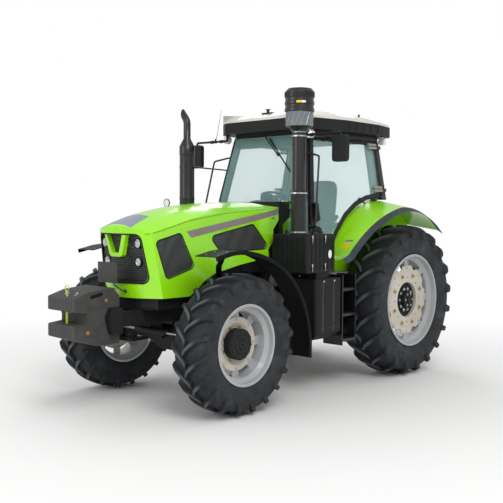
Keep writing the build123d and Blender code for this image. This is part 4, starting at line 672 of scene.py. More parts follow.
def rounded(corners, radius, steps=6):
    """A 2-D outline with each corner turned on an arc of this radius."""
    corners = np.asarray(corners, float)
    points = []
    for before, corner, after in zip(np.roll(corners, 1, 0), corners, np.roll(corners, -1, 0)):
        a, b = before - corner, after - corner
        a, b = a / np.linalg.norm(a), b / np.linalg.norm(b)
        half = math.acos(np.clip(a @ b, -1, 1)) / 2
        middle = corner + (a + b) / np.linalg.norm(a + b) * radius / math.sin(half)
        start, end = (corner + v * radius / math.tan(half) - middle for v in (a, b))
        for share in np.linspace(0, 1, steps + 1):
            ray = start * (1 - share) + end * share
            points.append(middle + ray / np.linalg.norm(ray) * radius)
    return np.array(points)


def spaced(outline, pitch):
    """Points along a closed outline at about this pitch."""
    ring = np.concatenate([outline, outline[:1]])
    length = lengths(ring)
    at = np.linspace(0, length[-1], int(length[-1] / pitch), endpoint=False)
    return point_at(at, length, ring)


def patch(node, corners, direction, axes, rows=2, columns=12, lift=0.0008):
    """A thin film on a node: four 2-D corners on the given axes, seen along direction."""
    a, b, c, d = (np.asarray(v, float) for v in corners)
    s = np.linspace(0, 1, columns)[None, :, None]
    t = np.linspace(0, 1, rows)[:, None, None]
    flat = (a * (1 - s) + b * s) * (1 - t) + (d * (1 - s) + c * s) * t
    along = np.array(Vector(direction).normalized())
    far = np.zeros((rows, columns, 3)) - AFAR * along
    for index, axis in enumerate(axes):
        far[..., axis] = flat[..., index]
    top = drop(node, far.reshape(-1, 3), direction, lift).reshape(rows, columns, 3)
    return sheet_of(top, top + 0.6 * lift * along)


# ------------------------------------------------------------------ hubs, rims and wheel bolts
def ring_of(count, radius, w, side, out, start):
    """Places round the axle on the wheel's outer side, out from its middle."""
    angle = start + TAU * np.arange(count) / count
    return np.stack([w["x"] + radius * np.cos(angle), np.full(count, side * (w["y"] + out)),
                     w["z"] + radius * np.sin(angle)], -1)


def about_wheel(w, side, profile, steps=120, loop=False):
    """A turned piece about the wheel's axle, its profile as (out from the middle, radius)."""
    centre = (w["x"], side * w["y"], w["z"])
    return lathe([(side * out, radius) for out, radius in profile], centre, steps, loop=loop)


def fasteners(w, side, make, circles):
    """What make gives round the axle. A circle is count, radius, out from the middle, first angle, sizes."""
    return joined([make(place, (0, side, 0), *sizes) for count, radius, out, start, *sizes in circles
                   for place in ring_of(count, radius, w, side, out, start)])


def dimple(place, direction, long, wide, depth, steps=28):
    """A pressed oval nut seat: a raised lip round a shallow flat, turned and then drawn out one way."""
    profile = [(0.0, 1.0), (0.45 * depth, 0.94), (0.5 * depth, 0.84), (0.15 * depth, 0.74),
               (0.10 * depth, 0.001)]
    points, faces = lathe(profile, (0, 0, 0), steps, "Z")
    return turned((points * (wide, long, 1), faces), place, direction)


def hole_shade_disc(place, direction, radius, thick):
    """A dark disc of painted shade that stands for a blind hole."""
    return disc_of(place, radius, direction, thick)


HALF_STEP = TAU / 16                # half the angle between two of eight nuts
# a circle of fasteners is count, radius, out from the wheel's middle, first angle, and the maker's sizes
hubs = {
    "front": dict(
        profile=[(-0.010, 0.1508), (0.079, 0.1512), (0.0815, 0.147), (0.0865, 0.137), (0.0935, 0.134),
                 (0.096, 0.128), (0.096, 0.112), (0.0925, 0.110), (0.0925, 0.092), (0.100, 0.088),
                 (0.102, 0.082), (0.102, 0.060), (0.098, 0.057), (0.098, 0.048), (0.104, 0.044),
                 (0.107, 0.036), (0.107, 0.0001)],
        screw_finish=dark_iron,
        screws=[(12, 0.142, 0.0835, 0.1, 0.0065, 0.006), (6, 0.101, 0.0925, 0.0, 0.0075, 0.006),
                (8, 0.052, 0.098, 0.3, 0.005, 0.005), (1, 0.0, 0.107, 0.0, 0.009, 0.008)],
        nuts=(8, 0.174, -0.003, HALF_STEP, 0.0125, 0.014), lugs=(8, 0.238, 0.0245, 0.0, 0.012, 0.010),
        valve=0.35),
    "rear": dict(
        profile=[(0.090, 0.205), (0.094, 0.205), (0.096, 0.200), (0.0965, 0.186), (0.086, 0.180),
                 (0.086, 0.150), (0.108, 0.143), (0.112, 0.120), (0.104, 0.112), (0.104, 0.096),
                 (0.1505, 0.0955), (0.158, 0.088), (0.158, 0.062), (0.152, 0.058), (0.152, 0.040),
                 (0.163, 0.036), (0.166, 0.030), (0.166, 0.0001)],
        screw_finish=zinc,
        screws=[(10, 0.130, 0.1105, 0.0, 0.013, 0.012), (6, 0.074, 0.158, 0.0, 0.008, 0.007)],
        nuts=(8, 0.300, 0.1318, HALF_STEP, 0.0155, 0.017), lugs=(8, 0.385, 0.1302, 0.0, 0.013, 0.010),
        valve=0.50),
}


def wheel_trim(kind, side, word):
    """Hub, screws, nuts, rim bolts, the rim's rolled edge and the valve of one wheel."""
    w, fit, body = wheels[kind], hubs[kind], f"{kind}_wheel_{word}"
    piece(f"{kind}_hub_{word}", about_wheel(w, side, fit["profile"]), dark_iron, body, 30)
    for name, make, circles, finish in (("hub_screws", bolt, fit["screws"], fit["screw_finish"]),
                                        ("wheel_nuts", stud, [fit["nuts"]], brass),
                                        ("rim_bolts", bolt, [fit["lugs"]], disc_cream)):
        piece(f"{kind}_{name}_{word}", fasteners(w, side, make, circles), finish, body, 30)
    if kind == "rear":
        # the dish's flat centre, out to the scalloped edge, with a deep hole round the hub
        centre = [(0.0855, 0.210), (0.1285, 0.210), (0.1312, 0.213), (0.1312, 0.338), (0.1225, 0.338),
                  (0.1225, 0.220), (0.0855, 0.220)]
        piece(f"rear_disc_centre_{word}", about_wheel(w, side, centre, loop=True), disc_cream, body, 40)
        seats = fasteners(w, side, dimple, [(8, 0.300, 0.1312, HALF_STEP, 0.040, 0.028, 0.006)])
        piece(f"rear_nut_seats_{word}", seats, disc_cream, body, 40)
        # the blind holes are near-black discs of painted shade, in the seal rubber's finish
        shaded_holes = fasteners(w, side, hole_shade_disc, [(8, 0.268, 0.1313, 0.0, 0.0085, 0.0012)])
        piece(f"rear_disc_holes_{word}", shaded_holes, seal_rubber, body, 30)
    # the rim's edge, rolled over, as (out from the edge, out from the flange)
    edge = w["rim"] / 2
    rolled = [(-0.006, -0.020), (0.001, -0.014), (0.0035, -0.004), (-0.001, 0.0035), (-0.009, 0.0015),
              (-0.010, -0.016)]
    rolled = about_wheel(w, side, np.array(rolled) + (edge, w["flange"]), 128, loop=True)
    piece(f"{kind}_rim_edge_{word}", rolled, rim_grey, body, 40)
    foot = np.array(ring_of(1, fit["valve"], w, side, edge - 0.06, 0.9)[0])
    stem = tube([foot, foot + (0, side * 0.028, 0), foot + (-0.004, side * 0.040, -0.006)], 0.0045, 10)
    piece(f"{kind}_valve_{word}", stem, brass, body, 40)


for side, word in SIDES:
    for kind in wheels:
        wheel_trim(kind, side, word)


# ------------------------------------------------------------------ hood
hood_windows = [  # corners, x and z
    [(1.935, 1.658), (1.642, 1.734), (1.468, 1.400), (1.822, 1.301)],
    [(1.234, 1.692), (0.623, 1.813), (0.379, 1.556), (1.090, 1.536)],
]


def grown(outline, by):
    """A 2-D outline pushed out from its middle, each corner along its mitre."""
    outline = np.asarray(outline, float)
    x, y = outline.T
    turn = np.sign(np.sum(x * np.roll(y, -1) - y * np.roll(x, -1)))
    ahead, behind = np.roll(outline, -1, 0) - outline, outline - np.roll(outline, 1, 0)
    mitre = sum(np.stack([v[:, 1], -v[:, 0]], -1) * turn / np.linalg.norm(v, axis=1, keepdims=True)
                for v in (ahead, behind))
    return outline + by * 2 * mitre / np.sum(mitre ** 2, 1, keepdims=True)


def from_side(outline, y=1.5):
    """An outline in x and z, set at this y."""
    return np.insert(np.asarray(outline, float), 1, y, axis=1)


def hood_seals():
    """Black seals round the four side screens and round the grille's opening."""
    seals = []
    for corners in hood_windows:
        line = spaced(rounded(grown(corners, 0.0055), 0.040), 0.012)
        seals.append(both_sides(tube(drop("hood", from_side(line), FROM_LEFT, -0.001), 0.0062, 8, True)))
    piece("hood_window_seals", joined(seals), seal_rubber, "hood", 50)
    opening = grown([(-0.345, 1.262), (0.345, 1.262), (0.300, 1.722), (-0.300, 1.722)], 0.006)
    line = np.insert(spaced(rounded(opening, 0.064), 0.010), 0, AFAR, axis=1)
    landed = drop("hood", line, FROM_FRONT, -0.002)
    piece("grille_seal", tube(landed, 0.0075, 8, True), seal_rubber, "hood", 50)


def hood_films():
    """Side stripe and small mark, a darker green strip of painted shade along the crease, and the grey inset
    on the nose's top.
    """
    stripe = [(1.500, 1.690), (0.196, 1.925), (0.196, 1.985), (1.560, 1.752)]
    film = patch("hood", stripe, FROM_LEFT, (0, 2), 9, 80, 0.0025)
    piece("hood_stripe", both_sides(film), stripe_grey, "hood", 60)
    mark = [(0.330, 1.868), (0.270, 1.877), (0.262, 1.893), (0.322, 1.884)]
    piece("hood_side_mark", both_sides(patch("hood", mark, FROM_LEFT, (0, 2), 2, 4)), label_blue, "hood", 60)
    # a darker green tube along the crease, painting the shade in the fold
    x = np.linspace(0.21, 2.02, 60)
    crease = np.interp(x, [0.18, 1.004, 1.514, 1.906, 2.130], [2.003, 1.945, 1.872, 1.768, 1.712])
    seam = drop("hood", from_side(np.stack([x, crease - 0.012], -1)), FROM_LEFT)
    piece("hood_crease_painted_shade", both_sides(tube(seam, 0.0035, 6)), crease_painted_shade, "hood", 50)
    inset = [(2.085, -0.215), (2.085, 0.215), (1.820, 0.165), (1.820, -0.165)]
    inset = patch("hood", inset, FROM_ABOVE, (0, 1), 14, 16, 0.0015)
    piece("nose_inset", inset, inset_grey, "hood", 60)


def hood_mirror():
    """Small round mirror on a bent stalk at the hood's right shoulder.

    It stands far enough in to clear the exhaust as the hood tilts.
    """
    place = np.array((1.115, -0.370, 2.040))
    foot = drop("hood", [(1.100, -0.340, AFAR)], FROM_ABOVE)[0]
    shell = lathe([(-0.018, 1e-4), (-0.016, 0.030), (-0.004, 0.046), (0.006, 0.047), (0.008, 0.043),
                   (0.004, 0.040), (0.004, 1e-4)], place, 40, "X")
    stalk = tube([foot - (0, 0, 0.004), foot + (0, -0.02, 0.03), place - (0.012, 0, 0.01)], 0.007, 8)
    piece("hood_mirror", joined([shell, stalk]), gloss_black, "hood", 40)
    # the mirror's face is white opal, a painted reflection of the white studio
    face = disc_of(place + (0.0045, 0, 0), 0.0395, (1, 0, 0), 0.001, 40)
    piece("hood_mirror_painted_reflection", face, bulb_white, "hood", 40)


def front_lamp(radius):
    """Shell and bezel, reflector bowl, lens and bulb of a round lamp facing +X at the origin.

    The bowl's depth goes with the square of its radius, and so does the lens's dome.
    """
    inner, clear = radius - 0.011, radius - 0.0098
    shell = [(-0.040, 1e-4), (-0.040, radius - 0.002), (0.0075, radius - 0.0005), (0.0105, radius - 0.004),
             (0.0105, radius - 0.007), (0.004, radius - 0.0095), (0.0, inner), (-0.034, inner),
             (-0.034, 1e-4)]
    bowl = [(-0.031 + 0.030 * s * s, s * (radius - 0.0112)) for s in np.linspace(1, 0.10, 10)]
    dome = [(0.0035 + 0.0045 * (1 - s * s), s * clear) for s in np.linspace(1, 0.0, 8).clip(1e-3)]
    bulb = [(-0.031, 0.006), (-0.012, 0.006), (-0.007, 0.0042), (-0.005, 1e-4)]
    profiles = ((shell, 48), (bowl + [(-0.031, 1e-4)], 48), ([(0.0015, 1e-4), (0.0015, clear)] + dome, 48),
                (bulb, 24))
    return [lathe(profile, (0, 0, 0), steps, "X") for profile, steps in profiles]


def head_lamps():
    """Two round lamps a side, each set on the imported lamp's face."""
    lamps = []
    for y, z, radius in ((0.250, 1.640, 0.052), (0.238, 1.462, 0.050)):
        for side in (1, -1):
            face = drop("headlamps", [(AFAR, side * y, z)], FROM_FRONT)[0]
            lamps.append([moved(part, face) for part in front_lamp(radius)])
    shells, bowls, covers, bulbs = (joined(parts) for parts in zip(*lamps))
    piece("headlamp_shells", shells, gloss_black, "hood", 35, replaces=("headlamps",), slot="lamp_glass")
    piece("headlamp_bowls", bowls, reflector, "hood", 40)
    piece("headlamp_bulbs", bulbs, bulb_white, "hood", 40)
    piece("headlamp_lenses", covers, lens, "hood", 40)


def grille_dress():
    """Fine level bars on the set-back nose panel, shorter with height, as the panel is."""
    bars = []
    for z in np.arange(1.285, 1.715, 0.0235):
        half = 0.335 - 0.045 * (z - 1.262) / 0.46 - (0.05 if z > 1.66 else 0.0)
        line = drop("hood_grilles", [(AFAR, y, z) for y in np.linspace(-half, half, 33)], FROM_FRONT, 0.0015)
        if (line[:, 0] > 1.93).all():       # a bar that a ray misses the panel for is left out
            bars.append(tube(line, 0.0032, 6))
    piece("grille_bars", joined(bars), black_plastic, "hood", 40)


hood_seals()
hood_films()
hood_mirror()
head_lamps()
grille_dress()


# ------------------------------------------------------------------ front weights and tow pin
def weights_dress():
    """A carrying slot, drawn as a flat film of painted shade inside a raised lip, two ribs on each end plate,
    and the tie rods' nuts.
    """
    half = span("front_weights")[1][1]      # the end plates' outer faces, off the middle
    slot_line = rounded([(2.405, 1.168), (2.545, 1.141), (2.553, 1.172), (2.413, 1.199)], 0.013)
    lips = []
    for side, word in SIDES:
        rings = [from_side(grown(slot_line, by), side * (half + lift))
                 for by, lift in ((0.0, 0.0), (0.002, 0.004), (0.010, 0.004), (0.012, 0.0))]
        lips.append((np.concatenate(rings), quads(len(rings), len(slot_line), close_columns=True)))
        # the slot is a flat near-black film of painted shade
        dark = from_side(slot_line, side * (half + 0.0006))
        piece(f"weight_slot_painted_shade_{word}", (dark, [list(range(len(dark)))]), recess_painted_shade, "chassis", 40)
        near, far = sorted((side * (half - 0.002), side * (half + 0.003)))
        lips += [block((2.27, near, low), (end, far, high))
                 for end, low, high in ((2.70, 1.049, 1.056), (2.62, 0.796, 0.804))]
    piece("weight_ribs", joined(lips), charcoal_iron, "chassis", 35, bevel=0.0015)
    rods = [stud((x, side * half, z), (0, side, 0), 0.015, 0.013)
            for x, z in ((2.369, 1.117), (2.580, 0.837)) for side in (1, -1)]
    piece("weight_tie_rods", joined(rods), brass, "chassis", 35)


def tow_pin():
    """Pin down through the jaw with a ring handle, and a chain of oval links hung from it to a plate."""
    pin = lathe([(0.885, 1e-4), (0.890, 0.008), (0.905, 0.0125), (1.180, 0.0125), (1.182, 0.019),
                 (1.190, 0.020), (1.194, 0.013), (1.212, 0.012), (1.215, 1e-4)], (2.655, 0.0, 0.0), 32, "Z")
    handle = tube(oval((2.655, 0.0, 1.236), (0, 0.030, 0), (0, 0, 0.026), 32), 0.0045, 8, True)
    piece("tow_pin", joined([pin, handle]), pin_yellow, "chassis", 40)
    path = smooth_line([(2.664, 0.030, 1.225), (2.692, 0.060, 1.150), (2.702, 0.090, 1.075),
                        (2.698, 0.110, 1.030), (2.690, 0.118, 1.080), (2.655, 0.121, 1.165),
                        (2.620, 0.122, 1.207)], 24)
    length = lengths(path)
    links = []
    for number, at in enumerate(np.arange(0.008, length[-1], 0.0165)):
        here, beyond = point_at([at, min(at + 0.004, length[-1])], length, path)
        ahead = (beyond - here) / np.linalg.norm(beyond - here)
        side = np.cross(ahead, (0, 0, 1)) if abs(ahead[2]) < 0.95 else np.array((0.0, 1.0, 0.0))
        side = side / np.linalg.norm(side)
        flat = side if number % 2 else np.cross(ahead, side)        # every other link stands on edge
        links.append(tube(oval(here, 0.0115 * ahead, 0.0065 * flat, 14), 0.0021, 6, True))
    piece("tow_pin_chain", joined(links), zinc, "chassis", 40)


weights_dress()
tow_pin()


# ------------------------------------------------------------------ cab
def side_at(x, z):
    """Half width of the cab on its door glass."""
    return 1.2104 - 0.0807 * (x - REAR_AXLE_X) - 0.189 * z


def front_at(z):
    """Where the leaning front pillars' middle lies at this height."""
    return REAR_AXLE_X + 1.650 - 0.184 * (z - 0.900)


SCREEN_FACE = 0.0413                # windscreen's outer face ahead of the pillars' middle


def on_pane(x, z, out=0.0):
    """Places on the left door's glass, or this far out of it."""
    return np.stack(np.broadcast_arrays(x, side_at(x, z) + out, z), -1)


def on_screen(y, z, out=0.0):
    """Places on the windscreen's outer face, or this far ahead of it."""
    return np.stack(np.broadcast_arrays(front_at(z) + SCREEN_FACE + out, y, z), -1)


def pane_block(x0, x1, z0, z1, near, far):
    """A block standing on the door pane from near to far out of it."""
    corners = [on_pane(x, z, out) for x in (x0, x1) for out in (near, far) for z in (z0, z1)]
    return np.array(corners), block((0, 0, 0), (1, 1, 1))[1]


def door_outline():
    """The door pane's edge, x and z, from its front foot round by the sill to the front top."""
    sill = [(1.372, 1.742), (1.345, 1.472), (1.252, 1.478), (1.070, 1.712), (0.882, 1.892), (0.672, 2.022),
            (0.460, 2.098), (0.250, 2.128), (0.155, 2.128), (0.145, 2.812)]
    front = [(front_at(2.812) + 0.002, 2.812), (front_at(1.742) + 0.002, 1.742)]
    return np.array(front + [(REAR_AXLE_X + x, z) for x, z in sill])


def door_dress(side, word):
    """Seal, printed border, glass bolts, hinge covers and gas strut of one door."""
    body = f"door_{word}"
    outline = rounded(door_outline(), 0.020, 3)
    seal = tube(on_pane(*spaced(grown(outline, -0.006), 0.03).T, -0.002), 0.0075, 8, True)
    piece(f"door_seal_{word}", mirrored(seal, side), seal_rubber, body, 50)
    border = np.concatenate([on_pane(*grown(outline, by).T, 0.0012) for by in (-0.003, -0.055)])
    border = mirrored((border, quads(2, len(outline), close_columns=True)), side)
    piece(f"door_border_{word}", border, frit_black, body, 50)
    # bolts through the glass at the hinge straps, the handle and the strut
    knob = lathe([(0.0, 0.020), (0.006, 0.019), (0.009, 0.012), (0.012, 0.010), (0.013, 1e-4)],
                 (0, 0, 0), 24, "Z")
    spots = [(-0.394, 2.769), (-0.885, 2.105), (-1.290, 2.250), (-1.290, 2.765), (-0.130, 1.985),
             (-0.130, 1.915)]
    heads = joined([turned(knob, on_pane(x, z, 0.001), (0.08, 1, 0.19)) for x, z in spots])
    piece(f"door_bolts_{word}", mirrored(heads, side), gloss_black, body, 40)
    covers = joined([pane_block(-1.298, -1.150, z + low, z + low + 0.031, 0.012, 0.040)
                     for z in (2.230, 2.745) for low in (-0.034, 0.003)])
    piece(f"hinge_covers_{word}", mirrored(covers, side), hinge_grey, body, 35, bevel=0.006, segments=3)
    strut = [on_pane(x, z, out) for x, z, out in ((-0.885, 2.105, -0.030), (-1.12, 2.05, -0.10),
                                                  (-1.30, 2.01, -0.14))]
    piece(f"door_strut_{word}", mirrored(tube(strut, 0.009, 10), side), black_enamel, body, 40)


def screen_dress():
    """The windscreen's rubber frame, the wiper with its clip, and the sun visor behind the glass."""
    low, high = 2.052, 2.839
    wide, narrow = (side_at(front_at(z), z) - 0.022 for z in (low, high))
    ring = rounded([(-wide, low), (wide, low), (narrow, high), (-narrow, high)], 0.03)
    ring = spaced(grown(ring, -0.004), 0.03)
    piece("windscreen_seal", tube(on_screen(*ring.T), 0.0095, 8, True), seal_rubber, "chassis", 50)
    blade = [on_screen(y, z, 0.014) for y, z in ((0.395, 2.405), (0.02, 2.80))]
    lip = [on_screen(y, z, 0.005) for y, z in ((0.398, 2.402), (0.018, 2.802))]
    arm = [on_screen(*at) for at in ((-0.025, 2.845, 0.035), (0.0, 2.80, 0.045), (0.20, 2.60, 0.036))]
    wiper = joined([tube(blade, 0.0065, 8), tube(arm, 0.0075, 8), tube(lip, 0.0042, 6)])
    piece("wiper", wiper, black_plastic, "chassis", 40)
    clip = block(on_screen(0.187, 2.585, 0.018), on_screen(0.223, 2.625, 0.040))
    piece("wiper_clip", clip, black_plastic, "chassis", 40, bevel=0.003)
    visor = np.array([[(front_at(z) - 0.005, y, z) for y in (-half, half)]
                      for half, z in ((0.50, 2.835), (0.515, 2.700))])
    piece("sun_visor", sheet_of(visor, visor - (0.003, 0, 0)), visor_green, "chassis", 40)


def liner_dress():
    """Moulded trim on the rear pillars and the thin head lining, seen through the glass."""
    x, z = REAR_AXLE_X + np.array([0.20, 0.20, 0.21, 0.23]), np.array([2.80, 2.50, 2.20, 2.10])
    trim = tube(smooth_line(on_pane(x, z, -0.075), 6), 0.045, 12)
    for side, word in SIDES:
        piece(f"rear_pillar_trim_{word}", mirrored(trim, side), cab_liner, "chassis", 40)
    lining = block((REAR_AXLE_X + 0.13, -0.60, 2.800), (front_at(2.8) - 0.06, 0.60, 2.806))
    piece("head_lining", lining, cab_liner, "chassis", 40, bevel=0.002)


for side, word in SIDES:
    door_dress(side, word)
screen_dress()
liner_dress()


# ------------------------------------------------------------------ inside the cab
def cushion(low, high, crown, tuck=0.010, lean=0.0, columns=32):
    """A stuffed block with two grooves sunk by tuck along it.

    Each point of a cube's surface is drawn on to a ball of the seventh power, which rounds its
    edges, and scaled to the block less its crown. A face then swells by crown times
    (cos a cos b) ** 0.7, and lean shears it all backwards with height.
    """
    low, high = np.asarray(low, float), np.asarray(high, float)
    centre, half = (low + high) / 2, (high - low) / 2
    across = np.linspace(-1, 1, columns)
    a, b = np.meshgrid(across, across, indexing="ij")
    swell = crown * np.cos(a * math.pi / 2) ** 0.7 * np.cos(b * math.pi / 2) ** 0.7
    sides = []
    for axis in range(3):
        for sign in (-1, 1):
            cube = np.zeros((columns, columns, 3))
            cube[..., axis], cube[..., (axis + 1) % 3], cube[..., (axis + 2) % 3] = sign, a, b
            ball = cube / (np.abs(cube) ** 7).sum(-1, keepdims=True) ** (1 / 7)
            point = ball * (half - crown)
            point[..., axis] += sign * swell
            groove = np.exp(-((np.abs(point[..., 1]) - 0.62 * half[1]) / 0.007) ** 2)
            point[..., axis] -= sign * groove * tuck * (np.abs(ball[..., axis]) > 0.93)
            sides.append((point.reshape(-1, 3), quads(columns, columns)))
    points, faces = joined(sides)
    points[:, 0] -= lean * (points[:, 2] + half[2])
    return points + centre, faces


CAB_FLOOR = span("seat")[0][2]      # the mat's top, which the seat stands on
COWL_X = REAR_AXLE_X + 1.655        # the cowl's face behind the screen


def seat():
    """Bellows base, padded cushion and back, and armrests on their stems."""
    x, floor = REAR_AXLE_X + 0.560, CAB_FLOOR
    base = block((x - 0.15, -0.14, floor + 0.002), (x + 0.15, 0.14, floor + 0.06))
    folds = [(floor + 0.06 + 0.012 * i, 0.150 - 0.016 * (i % 2)) for i in range(20)]
    bellows = lathe(folds, (x, 0, 0), 40, "Z")
    pan = block((x - 0.21, -0.22, floor + 0.285), (x + 0.25, 0.22, floor + 0.315))
    piece("seat_base", joined([base, bellows, pan]), black_plastic, "chassis", 35, bevel=0.004)
    lower = cushion((x - 0.225, -0.245, floor + 0.305), (x + 0.268, 0.245, floor + 0.412), 0.016)
    back = cushion((x - 0.225, -0.235, floor + 0.38), (x - 0.115, 0.235, floor + 1.005), 0.016, lean=0.125)
    rest = piece("seat_cushions", joined([lower, back]), seat_cloth, "chassis", 60, replaces=("seat",),
                 slot="seat_fabric")
    arms = [block((x - 0.16, side * 0.29 - 0.03, floor + 0.53), (x + 0.16, side * 0.29 + 0.03, floor + 0.575))
            for side in (-1, 1)]
    stems = [tube([(x - 0.15, side * 0.29, floor + 0.54), (x - 0.20, side * 0.245, floor + 0.50)], 0.014, 10)
             for side in (-1, 1)]
    piece("armrests", joined(arms + stems), black_plastic, "chassis", 35, bevel=0.012, segments=3)


def controls():
    """Instrument pod with its gauge, console with three levers, and the column's two stalks."""
    pod = lathe([(0.0, 0.055), (0.05, 0.085), (0.10, 0.100), (0.115, 0.098), (0.118, 0.085), (0.108, 0.078),
                 (0.108, 1e-4)], (0, 0, 0), 40, "Z")
    place, facing = (COWL_X - 0.260, 0.0, 2.03), np.array((-0.55, 0.0, 0.83))
    piece("instrument_pod", turned(pod, place, facing), black_plastic, "chassis", 40)
    dial = place + 0.110 * facing / np.linalg.norm(facing)
    piece("gauge_face", disc_of(dial, 0.070, facing, 0.0015, 40), label_white, "chassis", 40)
    knob = lathe([(0.0, 0.010), (0.012, 0.017), (0.03, 0.019), (0.045, 0.013), (0.050, 1e-4)],
                 (0, 0, 0), 20, "Z")
    levers = []
    for y, tilt in ((-0.33, 0.02), (-0.37, -0.01), (-0.41, 0.03)):
        foot = np.array((REAR_AXLE_X + 0.80, y, 1.66))
        top = foot + (tilt, 0, 0.15)
        levers += [tube([foot, top], 0.007, 8), moved(knob, top)]
    console = block((REAR_AXLE_X + 0.45, -0.47, CAB_FLOOR), (REAR_AXLE_X + 0.95, -0.31, 1.655))
    piece("side_console", console, cab_liner, "chassis", 35, bevel=0.02, segments=3)
    piece("console_levers", joined(levers), black_plastic, "chassis", 40)
    hub = np.array((COWL_X - 0.478, 0.0, 2.062))
    stalks = [tube([hub + (0.06, side * 0.03, -0.02), hub + (0.09, side * 0.14, 0.0)], 0.007, 8)
              for side in (-1, 1)]
    piece("column_stalks", joined(stalks), black_plastic, "chassis", 40)


seat()
controls()


# ------------------------------------------------------------------ roof, mirrors and lamps
def roof_dress():
    """Skirt ribs, the joint under the roof shell, a T-shaped fitting, the beacon's socket and an aerial."""
    half = 0.80
    ribs = joined([block((x - 0.004, half - 0.004, 2.885), (x + 0.004, half + 0.004, 2.982))
                   for x in np.linspace(REAR_AXLE_X + 0.28, REAR_AXLE_X + 0.86, 5)])
    piece("roof_skirt_ribs", both_sides(ribs), black_plastic, "chassis", 35, bevel=0.001)
    outline = np.array([(1.540, 0.520), (1.400, 0.690), (0.900, half), (0.250, half), (-0.100, 0.720),
                        (-0.160, 0.560)]) + (REAR_AXLE_X, 0)
    seam = spaced(grown(np.concatenate([outline, (outline * (1, -1))[::-1]]), -0.001), 0.05)
    line = np.insert(seam, 2, 2.9895, axis=1)
    piece("roof_joint", tube(line, 0.005, 6, True), seal_rubber, "chassis", 50)
    places = [(REAR_AXLE_X + 1.36, 0.0, AFAR), (REAR_AXLE_X + 0.25, 0.50, AFAR)]
    top, spot = drop("cab_roof", places, FROM_ABOVE)
    fitting = joined([block(top + (-0.03, -0.075, -0.004), top + (0.03, 0.075, 0.014)),
                      block(top + (-0.012, -0.012, 0.012), top + (0.012, 0.012, 0.05)),
                      block(top + (-0.012, -0.03, 0.045), top + (0.012, 0.03, 0.056))])
    piece("roof_fitting", fitting, black_plastic, "chassis", 35, bevel=0.003)
    socket = [(0.0, 0.022), (0.02, 0.020), (0.022, 0.012), (0.055, 0.011), (0.060, 1e-4)]
    piece("beacon_socket", lathe(socket, spot, 24, "Z"), black_plastic, "chassis", 40)
    foot = np.array((REAR_AXLE_X + 1.42, -0.80, 2.800))     # on the right-hand mirror's arm
    mast = tube([foot, foot + (-0.03, 0, 0.10), foot + (-0.10, 0, 0.40)], [0.0045, 0.003, 0.0018], 8)
    base = [(-0.016, 0.016), (0.010, 0.017), (0.024, 0.009), (0.040, 0.006), (0.042, 1e-4)]
    piece("aerial", joined([mast, lathe(base, foot, 20, "Z")]), black_plastic, "chassis", 40)


def mirror_dress():
    """Silvered glass in each mirror's head, and two clamps on each arm."""
    x, y, z = REAR_AXLE_X + 1.440, 1.105, 2.630
    low, high = (y - 0.080, z - 0.128), (y + 0.080, z + 0.128)
    face = rounded([low, (high[0], low[1]), high, (low[0], high[1])], 0.030)
    glass_back = np.insert(face, 0, x - 0.0288, axis=1)
    piece("mirror_glass", both_sides(plate(glass_back, (0.001, 0, 0))), mirror_glass, "chassis", 40)
    clamps = [tube([(x - 0.02, at - 0.02, 2.80), (x - 0.02, at + 0.02, 2.80)], 0.020, 20)
              for at in (0.70, 0.86)]
    piece("mirror_clamps", both_sides(joined(clamps)), black_plastic, "chassis", 40)


def lamp_dress():
    """White bezels and domed reflectors on the work lamps, two ahead and two behind."""
    rims, faces = [], []
    for side in (-1, 1):
        front = (REAR_AXLE_X + 1.400, side * 0.640, 2.815)
        back = (REAR_AXLE_X - 0.002, side * 0.690, 2.815)
        for place, facing, radius in ((front, 1, 0.045), (back, -1, 0.042)):
            ring = [(-0.050 * facing, radius + 0.0012), (0.001 * facing, radius + 0.0012),
                    (0.003 * facing, radius - 0.002), (0.001 * facing, radius - 0.006)]
            rims.append(lathe(ring, place, 36, "X"))
            dome = [(facing * (0.0008 + 0.004 * (1 - s * s)), max(s, 1e-3) * (radius - 0.005))
                    for s in np.linspace(1, 0, 6)]
            faces.append(lathe(dome, place, 36, "X"))
    piece("work_lamp_rims", joined(rims), bulb_white, "chassis", 40)
    piece("work_lamp_lenses", joined(faces), reflector, "chassis", 40)


roof_dress()
mirror_dress()
lamp_dress()


# ------------------------------------------------------------------ intake, exhaust, filter, tank
def around(centre, radius, angle, z):
    """Places round an upright pipe."""
    x, y = centre[0] + radius * np.cos(angle), centre[1] + radius * np.sin(angle)
    return np.stack(np.broadcast_arrays(x, y, z), -1)


def band_round(centre, z, radius, height=0.014):
    """A clamp band round an upright pipe, with its screw barrel across it."""
    low, high, turn = z - height / 2, z + height / 2, 0.6
    inside, outside = radius + 0.0005, radius + 0.002
    ring = lathe([(low, inside), (low, outside), (high, outside), (high, inside)], (*centre, 0), 64, "Z")
    at = around(centre, radius + 0.006, turn, z)
    along = 0.016 * np.array((-math.sin(turn), math.cos(turn), 0))
    return joined([ring, tube([at - along, at + along], 0.0055, 10)])


